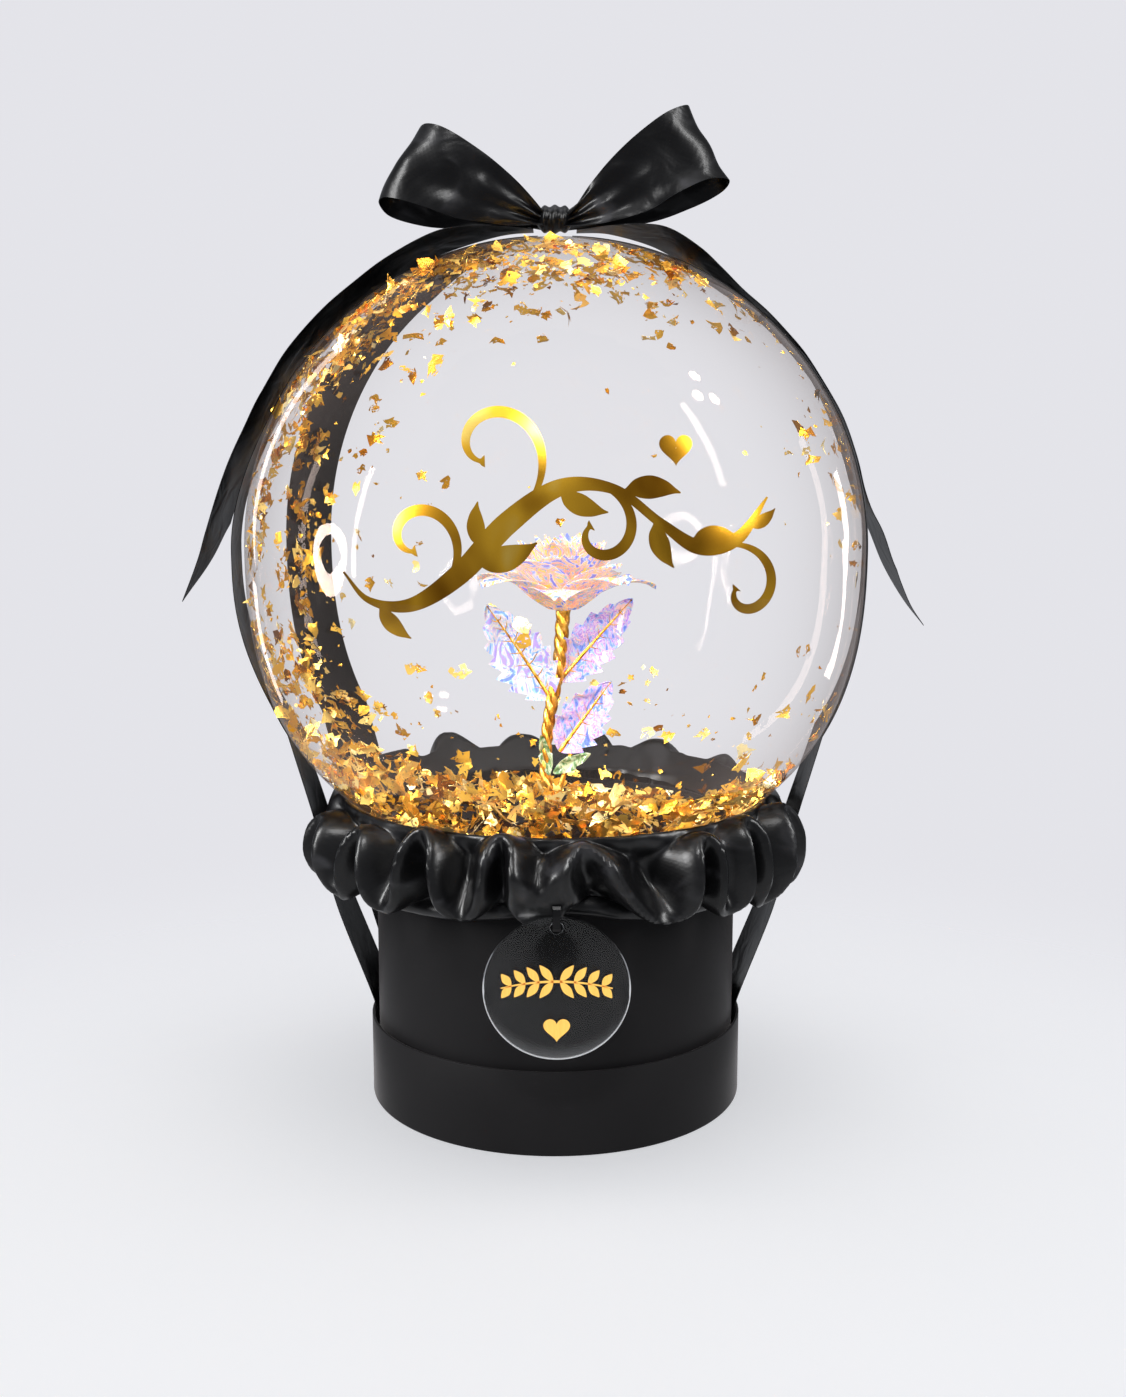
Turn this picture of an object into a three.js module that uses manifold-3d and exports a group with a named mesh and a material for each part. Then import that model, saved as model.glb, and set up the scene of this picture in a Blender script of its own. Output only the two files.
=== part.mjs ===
// A clear bubble balloon that nestles in a satin ruffle on a round hat box.
// Ribbons run from a bow on top of the balloon down to the lid the box stands in.
// Millimetres, +Z up, front towards -Y, origin at the centre of the underside.

import * as THREE from 'three';
import { mergeVertices } from 'three/addons/utils/BufferGeometryUtils.js';
import Module from 'manifold-3d';

const wasm = await Module();
wasm.setup();

// Driving dimensions of the hat box, whose lid is turned over and serves as its tray.
const lidRadius = 91;
const lidHeight = 39.8;
const lidWall = 1.2;
const lidFloor = 1.5;
const boxRadius = 87.5;
const boxWall = 1.5;
const boxRim = 136.6;
const fitGap = 0.3;
const boxSegments = 64;

// The balloon is a little wider than tall, and sags to a fuller curve below its middle.
// Its tied neck hangs into the box.
const balloonRadius = 146.2;
const balloonHalfHeight = 144.3;
const balloonCentre = 266.6;
const balloonFullness = 2.45;
const neckRadius = 6;
const neckKnotRadius = 8.5;
const neckEnd = 98;

// The gathered ruffle is glued round the outside of the box's rim.
const ruffleRadius = 103;
const ruffleInner = 88.4;
const ruffleMiddle = 127;
const ruffleRise = 28;
const ruffleDrop = 21.5;
const ruffleValley = 3;
const ruffleLobe = 17;
const ruffleLean = 3;
const ruffleSideSwell = 0.2;
const ruffleLobes = 22;
const lobeFullness = 0.7;
const swellNarrowing = 8;
const stepsPerLobe = 5;
const ruffleSides = 9;

// Where a strap holds the ruffle flat and where the tag presses it in, as degrees either side:
// full effect within the first, none beyond the second.
const strapHold = [11, 16];
const tagHold = [20, 34];

// All the ribbon is cut from one reel.
const ribbonWidth = 38;
const ribbonThickness = 0.8;
const ribbonClearance = 0.45;
const tailGather = 45;
const gatheredShare = 0.35;

// The bow's knot: middle and half sizes.
const bowKnotCentre = [-0.2, -0.5, 419.2];
const bowKnotHalf = [8.6, 10, 6.5];

// Straps: azimuth in degrees from +X at the balloon's middle and where the strap enters the lid,
// and how far it stands off the balloon's middle.
const straps = {
  strap_left: { middle: 184, foot: 176, slack: 5 },
  strap_right: { middle: -7, foot: 4, slack: 0 },
  strap_back: { middle: 151.5, foot: 148.5, slack: 0 },
};
const strapGather = 0.235;
const strapTopAngle = 4.5;
const strapLeaveAngle = 122;
const slackBegins = [62, 90];
const slackEnds = [118, 92];
const strapOverRuffle = [116, 134];
const strapUnderRuffle = [107, 94];
const strapInLid = 88.65;
const strapLeadIn = 2;
const strapAligned = 15;
const strapFoot = 12;

// The tag is a clear disc that hangs free in front of the box.
const tagRadius = 31.8;
const tagThickness = 2.5;
const tagCentre = [1, -111.5, 86.6];
const tagHoleRadius = 2.5;
const tagHoleInset = 5;
const tagPress = 0.5;
const tagAzimuth = 270;

const degrees = Math.PI / 180;

const paper = new THREE.MeshStandardMaterial({ color: 0x101012, roughness: 0.6, metalness: 0 });
const satin = new THREE.MeshStandardMaterial({ color: 0x0b0b0d, roughness: 0.35, metalness: 0 });
const film = new THREE.MeshStandardMaterial({
  color: 0xf3efec, roughness: 0.05, metalness: 0, transparent: true, opacity: 0.2,
});
const acrylic = new THREE.MeshStandardMaterial({
  color: 0xe8ecee, roughness: 0.03, metalness: 0, transparent: true, opacity: 0.3,
});

const group = new THREE.Group();

function addPiece(name, geometry, material) {
  const mesh = new THREE.Mesh(geometry, material);
  mesh.name = name;
  group.add(mesh);
}

// Point [radius, height] off the balloon's surface, by its angle in degrees from the crown.
function balloonPoint(angle, offset) {
  const power = angle > 90 ? 2 / balloonFullness : 1;
  const across = Math.sin(angle * degrees) ** power;
  const rise = Math.sign(90 - angle) * Math.abs(Math.cos(angle * degrees)) ** power;
  return [(balloonRadius + offset) * across, balloonCentre + (balloonHalfHeight + offset) * rise];
}

// Height of the balloon's underside at a distance from its axis.
function balloonUnderside(radius) {
  const reach = (1 - (radius / balloonRadius) ** balloonFullness) ** (1 / balloonFullness);
  return balloonCentre - balloonHalfHeight * reach;
}

// Eases from 0 at the first edge to 1 at the second; the edges may run downwards.
function smoothStep(from, to, value) {
  const t = Math.min(Math.max((value - from) / (to - from), 0), 1);
  return t * t * (3 - 2 * t);
}

// Turns a profile of [radius, height] pairs about the Z axis.
function turned(profile, segments) {
  const points = profile.map(([radius, height]) => new THREE.Vector2(radius, height));
  return new THREE.LatheGeometry(points, segments).rotateX(Math.PI / 2);
}

// Closed solid from rings of points, each ring closed on itself; capped unless the rings join up.
function ringsSolid(rings, joined) {
  const sides = rings[0].length;
  const positions = rings.flat().flatMap((point) => point.toArray());
  const indices = [];
  const lastRing = joined ? rings.length : rings.length - 1;
  for (let row = 0; row < lastRing; row += 1) {
    const next = (row + 1) % rings.length;
    for (let side = 0; side < sides; side += 1) {
      const beside = (side + 1) % sides;
      const [a, b] = [row * sides + side, row * sides + beside];
      const [c, d] = [next * sides + side, next * sides + beside];
      indices.push(a, b, c, c, b, d);
    }
  }
  if (!joined) {
    const end = (rings.length - 1) * sides;
    for (let side = 1; side < sides / 2; side += 1) {
      const low = [side - 1, side];
      const high = [sides - side, sides - side - 1];
      indices.push(high[0], low[1], low[0], high[0], high[1], low[1]);
      indices.push(end + high[0], end + low[0], end + low[1]);
      indices.push(end + high[0], end + low[1], end + high[1]);
    }
  }
  const geometry = new THREE.BufferGeometry();
  geometry.setAttribute('position', new THREE.Float32BufferAttribute(positions, 3));
  geometry.setIndex(indices);
  return geometry;
}

// Ribbon from rows of points on its middle surface, thickened to both sides of it.
function ribbonSolid(rows) {
  const last = rows.length - 1;
  const rings = rows.map((row, index) => {
    const before = rows[Math.max(index - 1, 0)];
    const after = rows[Math.min(index + 1, last)];
    const faces = [[], []];
    row.forEach((point, column) => {
      const along = after[column].clone().sub(before[column]);
      const left = row[Math.max(column - 1, 0)];
      const right = row[Math.min(column + 1, row.length - 1)];
      const normal = right.clone().sub(left).cross(along).normalize();
      faces[0].push(point.clone().addScaledVector(normal, ribbonThickness / 2));
      faces[1].push(point.clone().addScaledVector(normal, -ribbonThickness / 2));
    });
    return [...faces[0], ...faces[1].reverse()];
  });
  return ringsSolid(rings, false);
}

function toManifold(geometry) {
  const bare = geometry.clone();
  bare.deleteAttribute('normal');
  bare.deleteAttribute('uv');
  const merged = mergeVertices(bare, 1e-4);
  return new wasm.Manifold(new wasm.Mesh({
    numProp: 3,
    vertProperties: new Float32Array(merged.attributes.position.array),
    triVerts: new Uint32Array(merged.index.array),
  }));
}

function fromManifold(solid) {
  const mesh = solid.getMesh();
  const geometry = new THREE.BufferGeometry();
  geometry.setAttribute('position', new THREE.Float32BufferAttribute(mesh.vertProperties, 3));
  geometry.setIndex(Array.from(mesh.triVerts));
  return geometry;
}

function hatBox() {
  const lidInner = lidRadius - lidWall;
  const lid = turned([
    [0, 0], [lidRadius, 0], [lidRadius, lidHeight],
    [lidInner, lidHeight], [lidInner, lidFloor], [0, lidFloor],
  ], boxSegments);
  const foot = lidFloor + fitGap;
  const boxInner = boxRadius - boxWall;
  const body = turned([
    [0, foot], [boxRadius, foot], [boxRadius, boxRim],
    [boxInner, boxRim], [boxInner, foot + boxWall], [0, foot + boxWall],
  ], boxSegments);
  addPiece('lid_tray', lid, paper);
  addPiece('box_body', body, paper);
}

// The film below the tie flares to the neck's end; the tie itself is a band round the neck.
function balloon() {
  const rings = 22;
  const segments = 44;
  const neckAngle = 178.5;
  const flare = 6;
  const bandHeight = 4;
  const bandEase = 2;
  const band = neckEnd + flare + bandEase;
  const profile = [
    [0, neckEnd], [neckKnotRadius, neckEnd], [neckRadius, neckEnd + flare],
    [neckKnotRadius, band], [neckKnotRadius, band + bandHeight],
    [neckRadius, band + bandHeight + bandEase],
  ];
  for (let ring = rings; ring >= 0; ring -= 1) {
    profile.push(balloonPoint((neckAngle * ring) / rings, 0));
  }
  addPiece('balloon', turned(profile, segments), film);
}

// How far the ruffle may swell at an azimuth: straps hold it flat, and the tag presses it in.
function ruffleFreedom(azimuth) {
  const apart = (other) => Math.abs(((azimuth - other + 540) % 360) - 180);
  const held = Object.values(straps).map((strap) => {
    const crossing = (strap.middle + 2 * strap.foot) / 3;
    return smoothStep(...strapHold, apart(crossing));
  });
  const pressed = tagPress + (1 - tagPress) * smoothStep(...tagHold, apart(tagAzimuth));
  return Math.min(...held) * pressed;
}

function ruffle() {
  const steps = ruffleLobes * stepsPerLobe;
  const rings = [];
  for (let step = 0; step < steps; step += 1) {
    const azimuth = (360 * step) / steps;
    const phase = (azimuth - tagAzimuth) * degrees * ruffleLobes;
    const freedom = ruffleFreedom(azimuth);
    const fuller = 1 + ruffleSideSwell * Math.cos(azimuth * degrees) ** swellNarrowing;
    const lobe = (0.5 - 0.5 * Math.cos(phase)) ** lobeFullness;
    const swell = ruffleValley + ruffleLobe * fuller * freedom * lobe;
    const lean = ruffleLean * freedom * Math.sin(phase);
    const ring = [];
    for (let side = 0; side < ruffleSides; side += 1) {
      const turn = (2 * Math.PI * side) / ruffleSides;
      const [across, rise] = [Math.cos(turn), Math.sin(turn)];
      const reach = across > 0 ? swell : ruffleRadius - ruffleInner;
      const half = rise > 0 ? ruffleRise : ruffleDrop;
      const radius = ruffleRadius + reach * across;
      const roof = balloonUnderside(radius) - ribbonClearance;
      const height = Math.min(ruffleMiddle + lean * across + half * rise, roof);
      ring.push(new THREE.Vector3(
        radius * Math.cos(azimuth * degrees), radius * Math.sin(azimuth * degrees), height,
      ));
    }
    rings.push(ring.reverse());
  }
  addPiece('ruffle', ringsSolid(rings, true), satin);
}

// Profile of a strap as [radius, height]: round the balloon, over the ruffle, into the lid.
function strapProfile(slack) {
  const steps = 18;
  const profile = [];
  for (let step = 0; step <= steps; step += 1) {
    const angle = strapTopAngle + (strapLeaveAngle - strapTopAngle) * (step / steps);
    const loose = smoothStep(...slackBegins, angle) * smoothStep(...slackEnds, angle);
    profile.push(balloonPoint(angle, ribbonClearance + ribbonThickness / 2 + slack * loose));
  }
  profile.push(strapOverRuffle, strapUnderRuffle, [strapInLid, lidHeight + strapLeadIn]);
  profile.push([strapInLid, (lidHeight + strapFoot) / 2], [strapInLid, strapFoot]);
  return profile;
}

// The strap's azimuth drifts from the crown to where the lid holds it. A strap whose middle is
// within strapAligned of the X axis starts in line with that axis, as the bow does.
function strapAzimuth({ middle, foot }, height) {
  const side = middle - (middle > 90 ? 180 : 0);
  const crown = Math.abs(side) < strapAligned ? middle - side : middle;
  const upper = smoothStep(balloonCentre + balloonHalfHeight, balloonCentre, height);
  const lower = smoothStep(balloonCentre, lidHeight, height);
  return crown + (middle - crown) * upper + (foot - middle) * lower;
}

function strap(name, settings) {
  const columns = 4;
  const rows = strapProfile(settings.slack).map(([radius, height]) => {
    const half = Math.min(ribbonWidth / 2, strapGather * radius);
    const azimuth = strapAzimuth(settings, height);
    const row = [];
    for (let column = 0; column <= columns; column += 1) {
      const across = (2 * column) / columns - 1;
      const angle = azimuth * degrees + (across * half) / radius;
      row.push(new THREE.Vector3(radius * Math.cos(angle), radius * Math.sin(angle), height));
    }
    return row;
  });
  addPiece(name, ribbonSolid(rows), satin);
}

// Tail of the ribbon along a route of [x, y, z, tilt]; tilt turns the near edge outwards.
// longEdge is +1 where the slanting end is longest on the near edge, -1 on the far edge.
function tail(name, route, longEdge) {
  const columns = 4;
  const steps = 26;
  const curve = new THREE.CatmullRomCurve3(route.map(([x, y, z]) => new THREE.Vector3(x, y, z)));
  const tilts = new THREE.CatmullRomCurve3(route.map((stop) => new THREE.Vector3(stop[3], 0, 0)));
  const length = curve.getLength();
  const outward = Math.sign(route[route.length - 1][0]);
  const rows = [];
  for (let step = 0; step <= steps; step += 1) {
    const row = [];
    for (let column = 0; column <= columns; column += 1) {
      const across = (2 * column) / columns - 1;
      const cut = (ribbonWidth * (1 - across * longEdge)) / 2;
      const travel = (step / steps) * (length - cut);
      const place = curve.getPointAt(travel / length);
      const along = curve.getTangentAt(travel / length);
      const tilt = tilts.getPoint(curve.getUtoTmapping(travel / length)).x * degrees;
      const outside = new THREE.Vector3(-along.z, 0, along.x).multiplyScalar(outward).normalize();
      const widen = gatheredShare + (1 - gatheredShare) * smoothStep(0, tailGather, travel);
      const reach = (across * widen * ribbonWidth) / 2;
      place.addScaledVector(outside, reach * Math.sin(tilt));
      place.y -= reach * Math.cos(tilt);
      row.push(place);
    }
    rows.push(row);
  }
  addPiece(name, ribbonSolid(rows), satin);
}

// A bow loop between two edges, each a list of [x, y, z] from the front of the knot to its back.
function bowLoop(upper, lower) {
  const steps = 26;
  const columns = 4;
  const toCurve = (edge) => {
    const points = edge.map((point) => new THREE.Vector3(...point));
    return new THREE.CatmullRomCurve3(points);
  };
  const [upperEdge, lowerEdge] = [toCurve(upper), toCurve(lower)];
  const rows = [];
  for (let step = 0; step <= steps; step += 1) {
    const top = upperEdge.getPoint(step / steps);
    const bottom = lowerEdge.getPoint(step / steps);
    const row = [];
    for (let column = 0; column <= columns; column += 1) {
      row.push(top.clone().lerp(bottom, column / columns));
    }
    rows.push(row);
  }
  return ribbonSolid(rows);
}

function bow() {
  const leftUpper = [
    [-5, -7, 421], [-17, -12.5, 434.5], [-33, -14, 447.5], [-48.2, -12, 457.2], [-58.5, -7, 461],
    [-62.3, -1, 459.8], [-58, 5, 457.5], [-45, 9, 449.5], [-29, 9.5, 437], [-5, 6, 420.5],
  ];
  const leftLower = [
    [-5, -7, 415], [-27, -12.5, 416], [-44, -14, 418], [-63, -13, 424.5], [-77, -7.5, 428],
    [-81, 0, 426], [-76.5, 6.5, 421], [-60, 9.5, 417], [-38, 9, 416.2], [-5, 6, 415],
  ];
  const rightUpper = [
    [5, -7, 421], [16, -12, 433.9], [27.4, -14, 446.2], [39.2, -13, 456.8], [51, -8.5, 465.5],
    [60.5, -2, 469.6], [60, 5, 466], [46, 9, 457], [29, 9.5, 441], [5, 6, 420.5],
  ];
  const rightLower = [
    [5, -7, 415], [24, -12.5, 416.5], [42, -14, 421], [56, -14, 429.5], [72, -8.5, 437.2],
    [80.5, -1, 437.5], [78, 6.5, 432.5], [64, 9.5, 425.5], [42, 9, 418.5], [5, 6, 415],
  ];
  const knot = new THREE.SphereGeometry(1, 16, 10).rotateX(Math.PI / 2).scale(...bowKnotHalf);
  knot.translate(...bowKnotCentre);
  const tied = toManifold(knot)
    .add(toManifold(bowLoop(leftUpper, leftLower)))
    .add(toManifold(bowLoop(rightUpper, rightLower)));
  addPiece('bow', fromManifold(tied), satin);
}

function tails() {
  tail('tail_left', [
    [-10, 0, 413.9, 0], [-28, 0, 413.7, 6], [-51.5, 0, 409.3, 9], [-72.5, 0, 398.8, 9],
    [-100.1, 0, 379.4, 8.5], [-121.4, 0, 356.7, 8.5], [-133.7, 0, 337.7, 8.5],
    [-141, 0, 323.8, 8], [-149.2, 0, 307.6, 7], [-156.4, 0, 289.5, 6], [-161.6, 0, 274.4, 6],
    [-165.2, 0, 262.2, 6], [-172.8, 0, 242.5, 6],
  ], 1);
  tail('tail_right', [
    [10, 0, 413.9, 0], [28, 0, 414.6, 6], [47.5, 0, 411.8, 9], [64, 1, 403, 9],
    [75, 4, 394.8, 7], [86, 8, 386, 3], [99.2, 11, 375.4, 1], [117.2, 12, 357, 0],
    [131.2, 12, 335.5, 0], [141.3, 12, 312, 0], [146.2, 12, 294.5, 0], [149.6, 12, 285, 0],
    [154.8, 12, 275, 0], [162, 12, 258.5, 0], [172, 12, 241.5, 0], [184, 12, 226, 0],
  ], -1);
}

function tag() {
  const disc = new THREE.Shape().absarc(0, 0, tagRadius, 0, 2 * Math.PI, false);
  const hole = new THREE.Path().absarc(0, tagRadius - tagHoleInset, tagHoleRadius, 0, 2 * Math.PI, true);
  disc.holes.push(hole);
  const plate = new THREE.ExtrudeGeometry(disc, {
    depth: tagThickness, bevelEnabled: false, curveSegments: 24,
  });
  plate.rotateX(Math.PI / 2).translate(...tagCentre);
  addPiece('tag', plate, acrylic);
}

// Narrow ribbon looped through the tag's hole and over its edge.
function tagRibbon() {
  const width = 3.4;
  const thickness = 0.5;
  const [x, front, z] = tagCentre;
  const hole = z + tagRadius - tagHoleInset;
  const middle = front - tagThickness / 2;
  const outline = new THREE.CatmullRomCurve3([
    new THREE.Vector3(x, middle - 2.6, hole + 3), new THREE.Vector3(x, middle - 1.2, hole - 1),
    new THREE.Vector3(x, middle + 1.2, hole - 1), new THREE.Vector3(x, middle + 2.6, hole + 3),
    new THREE.Vector3(x, middle + 2.4, hole + 8.5), new THREE.Vector3(x, middle, hole + 10.5),
    new THREE.Vector3(x, middle - 2.4, hole + 8.5),
  ], true);
  const rings = [];
  const steps = 20;
  for (let step = 0; step < steps; step += 1) {
    const place = outline.getPointAt(step / steps);
    const along = outline.getTangentAt(step / steps);
    const normal = new THREE.Vector3(0, -along.z, along.y).multiplyScalar(thickness / 2);
    const half = new THREE.Vector3(width / 2, 0, 0);
    rings.push([
      place.clone().add(half).sub(normal), place.clone().sub(half).sub(normal),
      place.clone().sub(half).add(normal), place.clone().add(half).add(normal),
    ]);
  }
  addPiece('tag_ribbon', ringsSolid(rings, true), satin);
}

hatBox();
balloon();
ruffle();
for (const [name, settings] of Object.entries(straps)) strap(name, settings);
bow();
tails();
tag();
tagRibbon();

export default group;
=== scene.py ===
# A clear bubble balloon in a gathered satin ruffle on a round hat box: its looks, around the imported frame.
# Sizes in this script are millimetres; makePiece turns them into metres as it builds each mesh.

import math

import bpy
import numpy as np
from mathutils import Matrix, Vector, noise


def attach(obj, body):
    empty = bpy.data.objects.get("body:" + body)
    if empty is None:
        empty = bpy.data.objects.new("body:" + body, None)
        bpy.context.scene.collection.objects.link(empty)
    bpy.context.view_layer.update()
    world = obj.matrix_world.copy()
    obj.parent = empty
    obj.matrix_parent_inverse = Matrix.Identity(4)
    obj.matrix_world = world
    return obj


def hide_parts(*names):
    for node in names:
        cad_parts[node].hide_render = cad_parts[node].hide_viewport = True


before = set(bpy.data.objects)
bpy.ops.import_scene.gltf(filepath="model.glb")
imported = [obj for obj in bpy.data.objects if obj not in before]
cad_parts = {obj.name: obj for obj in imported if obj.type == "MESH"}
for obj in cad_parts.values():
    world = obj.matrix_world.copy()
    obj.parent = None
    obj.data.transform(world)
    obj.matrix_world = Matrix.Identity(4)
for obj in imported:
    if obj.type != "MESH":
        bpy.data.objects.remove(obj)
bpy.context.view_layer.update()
millimetre = 0.001
rng = np.random.default_rng(11)


# One output socket of a node, so that shader maths reads as sums.
class Wire:
    def __init__(self, finish, socket):
        self.finish = finish
        self.socket = socket

    def maths(self, operation, *others):
        return self.finish.node('Math', {'operation': operation}, dict(enumerate([self, *others])))

    def __add__(self, other):
        return self.maths('ADD', other)

    __radd__ = __add__

    def __sub__(self, other):
        return self.maths('SUBTRACT', other)

    def __rsub__(self, other):
        return self.finish.node('Math', {'operation': 'SUBTRACT'}, {0: other, 1: self})

    def __mul__(self, other):
        return self.maths('MULTIPLY', other)

    __rmul__ = __mul__

    def __pow__(self, other):
        return self.maths('POWER', other)

    def sine(self):
        return self.maths('SINE')

    def between(self, low, high):
        # 0 below low, 1 above high, eased between them; the two may be swapped
        return self.finish.node('MapRange', {'interpolation_type': 'SMOOTHSTEP'},
                                {'Value': self, 'From Min': low, 'From Max': high})


# A material and the nodes it is made of; the room's nodes belong to the world instead.
class Finish:
    def __init__(self, name, owner=None):
        self.material = owner or bpy.data.materials.new(name)
        self.material.use_nodes = True
        self.tree = self.material.node_tree
        self.tree.nodes.clear()

    def node(self, kind, settings=None, inputs=None, output=0):
        made = self.tree.nodes.new('ShaderNode' + kind)
        for name, value in (settings or {}).items():
            if name == 'stops':
                setStops(made.color_ramp, value)
            else:
                setattr(made, name, value)
        for name, value in (inputs or {}).items():
            if isinstance(value, Wire):
                self.tree.links.new(value.socket, made.inputs[name])
            else:
                made.inputs[name].default_value = value
        return Wire(self, made.outputs[output]) if made.outputs else None

    def place(self, kind='Object', stretch=(1, 1, 1), turn=(0, 0, 0)):
        where = self.node('TexCoord', output=kind)
        return self.node('Mapping', None, {'Vector': where, 'Scale': stretch, 'Rotation': turn})

    def cloud(self, where, scale, detail=3, roughness=0.5, twist=0):
        return self.node('TexNoise', None, {'Vector': where, 'Scale': scale, 'Detail': detail,
                                            'Roughness': roughness, 'Distortion': twist})

    def ramp(self, value, stops):
        return self.node('ValToRGB', {'stops': stops}, {'Fac': value})

    def blend(self, share, first, second, how='MIX'):
        # the colour sockets of a Mix node are its sixth and seventh, and its third output
        return self.node('Mix', {'data_type': 'RGBA', 'blend_type': how},
                         {0: share, 6: first, 7: second}, output=2)

    def bump(self, height, strength, distance=0.0005, under=None):
        inputs = {'Height': height, 'Strength': strength, 'Distance': distance}
        if under is not None:
            inputs['Normal'] = under
        return self.node('Bump', None, inputs)

    def principled(self, **inputs):
        return self.node('BsdfPrincipled', None, {k.replace('_', ' '): v for k, v in inputs.items()})

    def show(self, surface):
        self.node('OutputMaterial', None, {'Surface': surface})
        return self.material


def setStops(ramp, stops):
    for position, colour in stops[2:]:
        ramp.elements.new(position)
    for element, (position, colour) in zip(ramp.elements, sorted(stops)):
        element.position = position
        element.color = (*colour, 1)


# Satin is black, with a painted sheen: a lighter colour laid along its creases. Its threads run along and
# across the UV map, which is in metres.
satinSettings = {
    'base': (0.001, 0.001, 0.0012), 'lit': (0.0026, 0.0026, 0.003), 'sheen': (0.018, 0.018, 0.02),
    'paintedSheenFrom': (0.5, 0.78), 'threads': 2600, 'threadDepth': 0.00004, 'creaseSize': 44, 'creaseDepth': 0.0016,
}


def satinFinish(name, roughness, creases, gloss):
    f = Finish(name)
    s = satinSettings
    cloth = f.place('UV')
    creaseAndPaintedSheen = f.cloud(f.place('Object', (1, 1, 1.4)), s['creaseSize'], 2, 0.45, 1.1)
    fine = f.cloud(f.place('UV', (1, 9, 1)), 420, 2)
    sides = f.node('SeparateXYZ', None, {'Vector': cloth})
    across = f.node('SeparateXYZ', None, {'Vector': cloth}, output=1)
    weave = (sides * s['threads']).sine() * (across * s['threads']).sine()
    colour = f.blend(fine, (*s['base'], 1), (*s['lit'], 1))
    # painted sheen: where the crease cloud rises, the colour turns to the lighter sheen colour, as if the satin
    # caught the light there
    colour = f.blend(creaseAndPaintedSheen.between(*s['paintedSheenFrom']) ** 1.6, colour, (*s['sheen'], 1))
    relief = f.bump(weave, 0.12, s['threadDepth'], f.bump(creaseAndPaintedSheen, creases, s['creaseDepth']))
    return f.show(f.principled(Base_Color=colour, Roughness=roughness + fine * 0.08, Normal=relief,
                               Specular_IOR_Level=gloss))


# Matt black paper over board, grained and a little rubbed.
paperSettings = {
    'dark': (0.0044, 0.0041, 0.0045), 'pale': (0.007, 0.0066, 0.0071), 'rubbed': (0.014, 0.0135, 0.0145),
    'sheen': (0.8, 0.76, 0.76), 'sheenWeight': 0.34, 'grainSize': 1900, 'grainDepth': 0.00012, 'rubbedSize': 90,
}


def paperFinish():
    f = Finish('boxPaper')
    s = paperSettings
    grain = f.cloud(f.place('Object'), s['grainSize'], 4, 0.65)
    patches = f.cloud(f.place('Object'), 24, 3)
    rubbed = f.cloud(f.place('Object', (1, 1, 5)), s['rubbedSize'], 4, 0.7).between(0.62, 0.78)
    colour = f.blend(patches, (*s['dark'], 1), (*s['pale'], 1))
    colour = f.blend(rubbed * 0.3, colour, (*s['rubbed'], 1))
    relief = f.bump(grain, 0.35, s['grainDepth'])
    return f.show(f.principled(Base_Color=colour, Roughness=0.5 + grain * 0.16, Normal=relief,
                               Specular_IOR_Level=0.1, Sheen_Weight=s['sheenWeight'], Sheen_Roughness=0.25,
                               Sheen_Tint=(*s['sheen'], 1)))


# Clear film: see-through where it is looked through squarely, and a warm grey where it is seen edge on; it also
# has a painted glow.
filmSettings = {
    'clear': (1.0, 0.998, 0.996), 'edge': (0.56, 0.45, 0.4), 'paintedGlow': (1.0, 0.96, 0.93),
    'rim': (0.16, 0.115, 0.1), 'paintedGlowStrength': 0.3, 'least': 0.013, 'most': 0.56, 'steepness': 2.6,
    'rippleSize': 14, 'rippleDepth': 0.004,
}


def filmFinish():
    f = Finish('clearFilm')
    s = filmSettings
    facing = f.node('LayerWeight', None, {'Blend': 0.5}, output='Facing')
    ripple = f.cloud(f.place('Object', (1, 1, 0.6)), s['rippleSize'], 2, 0.5, 1.2)
    relief = f.bump(ripple, 0.12, s['rippleDepth'])
    share = s['least'] + facing ** s['steepness'] * (s['most'] - s['least'])
    clear = f.node('BsdfTransparent', None, {'Color': (*s['clear'], 1)})
    # painted glow: the film gives off a faint light of its own, warm white where looked through and a dimmer
    # warm tint, the rim colour, towards its edges
    paintedGlow = f.blend((facing * 1.6).between(0, 1), (*s['paintedGlow'], 1), (*s['rim'], 1))
    skin = f.principled(Base_Color=(*s['edge'], 1), Roughness=0.03, Metallic=1.0, Normal=relief,
                        Emission_Color=paintedGlow, Emission_Strength=s['paintedGlowStrength'])
    return f.show(f.node('MixShader', None, {'Fac': share, 1: clear, 2: skin}))


# Torn gold foil; each flake has a tint of its own, from brown to pale gold.
foilSettings = {
    'tints': [(0.0, (0.26, 0.085, 0.003)), (0.25, (0.72, 0.31, 0.015)), (0.55, (0.95, 0.54, 0.07)),
              (0.8, (1.0, 0.7, 0.22)), (1.0, (1.0, 0.86, 0.5))],
    'crinkleSize': 520, 'crinkleDepth': 0.0006, 'laceSize': 330, 'lace': (0.39, 0.43),
}


def foilFinish():
    f = Finish('goldFoil')
    s = foilSettings
    tint = f.node('Attribute', {'attribute_name': 'tint'}, output='Fac')
    crinkle = f.cloud(f.place('Object'), s['crinkleSize'], 3, 0.6)
    colour = f.ramp(tint, s['tints'])
    # the foil is torn into lace
    lace = f.cloud(f.place('Object'), s['laceSize'], 2, 0.55, 0.7).between(*s['lace'])
    return f.show(f.principled(Base_Color=colour, Metallic=0.85, Roughness=0.24 + tint * 0.16, Alpha=lace,
                               Normal=f.bump(crinkle, 0.6, s['crinkleDepth'])))


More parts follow.
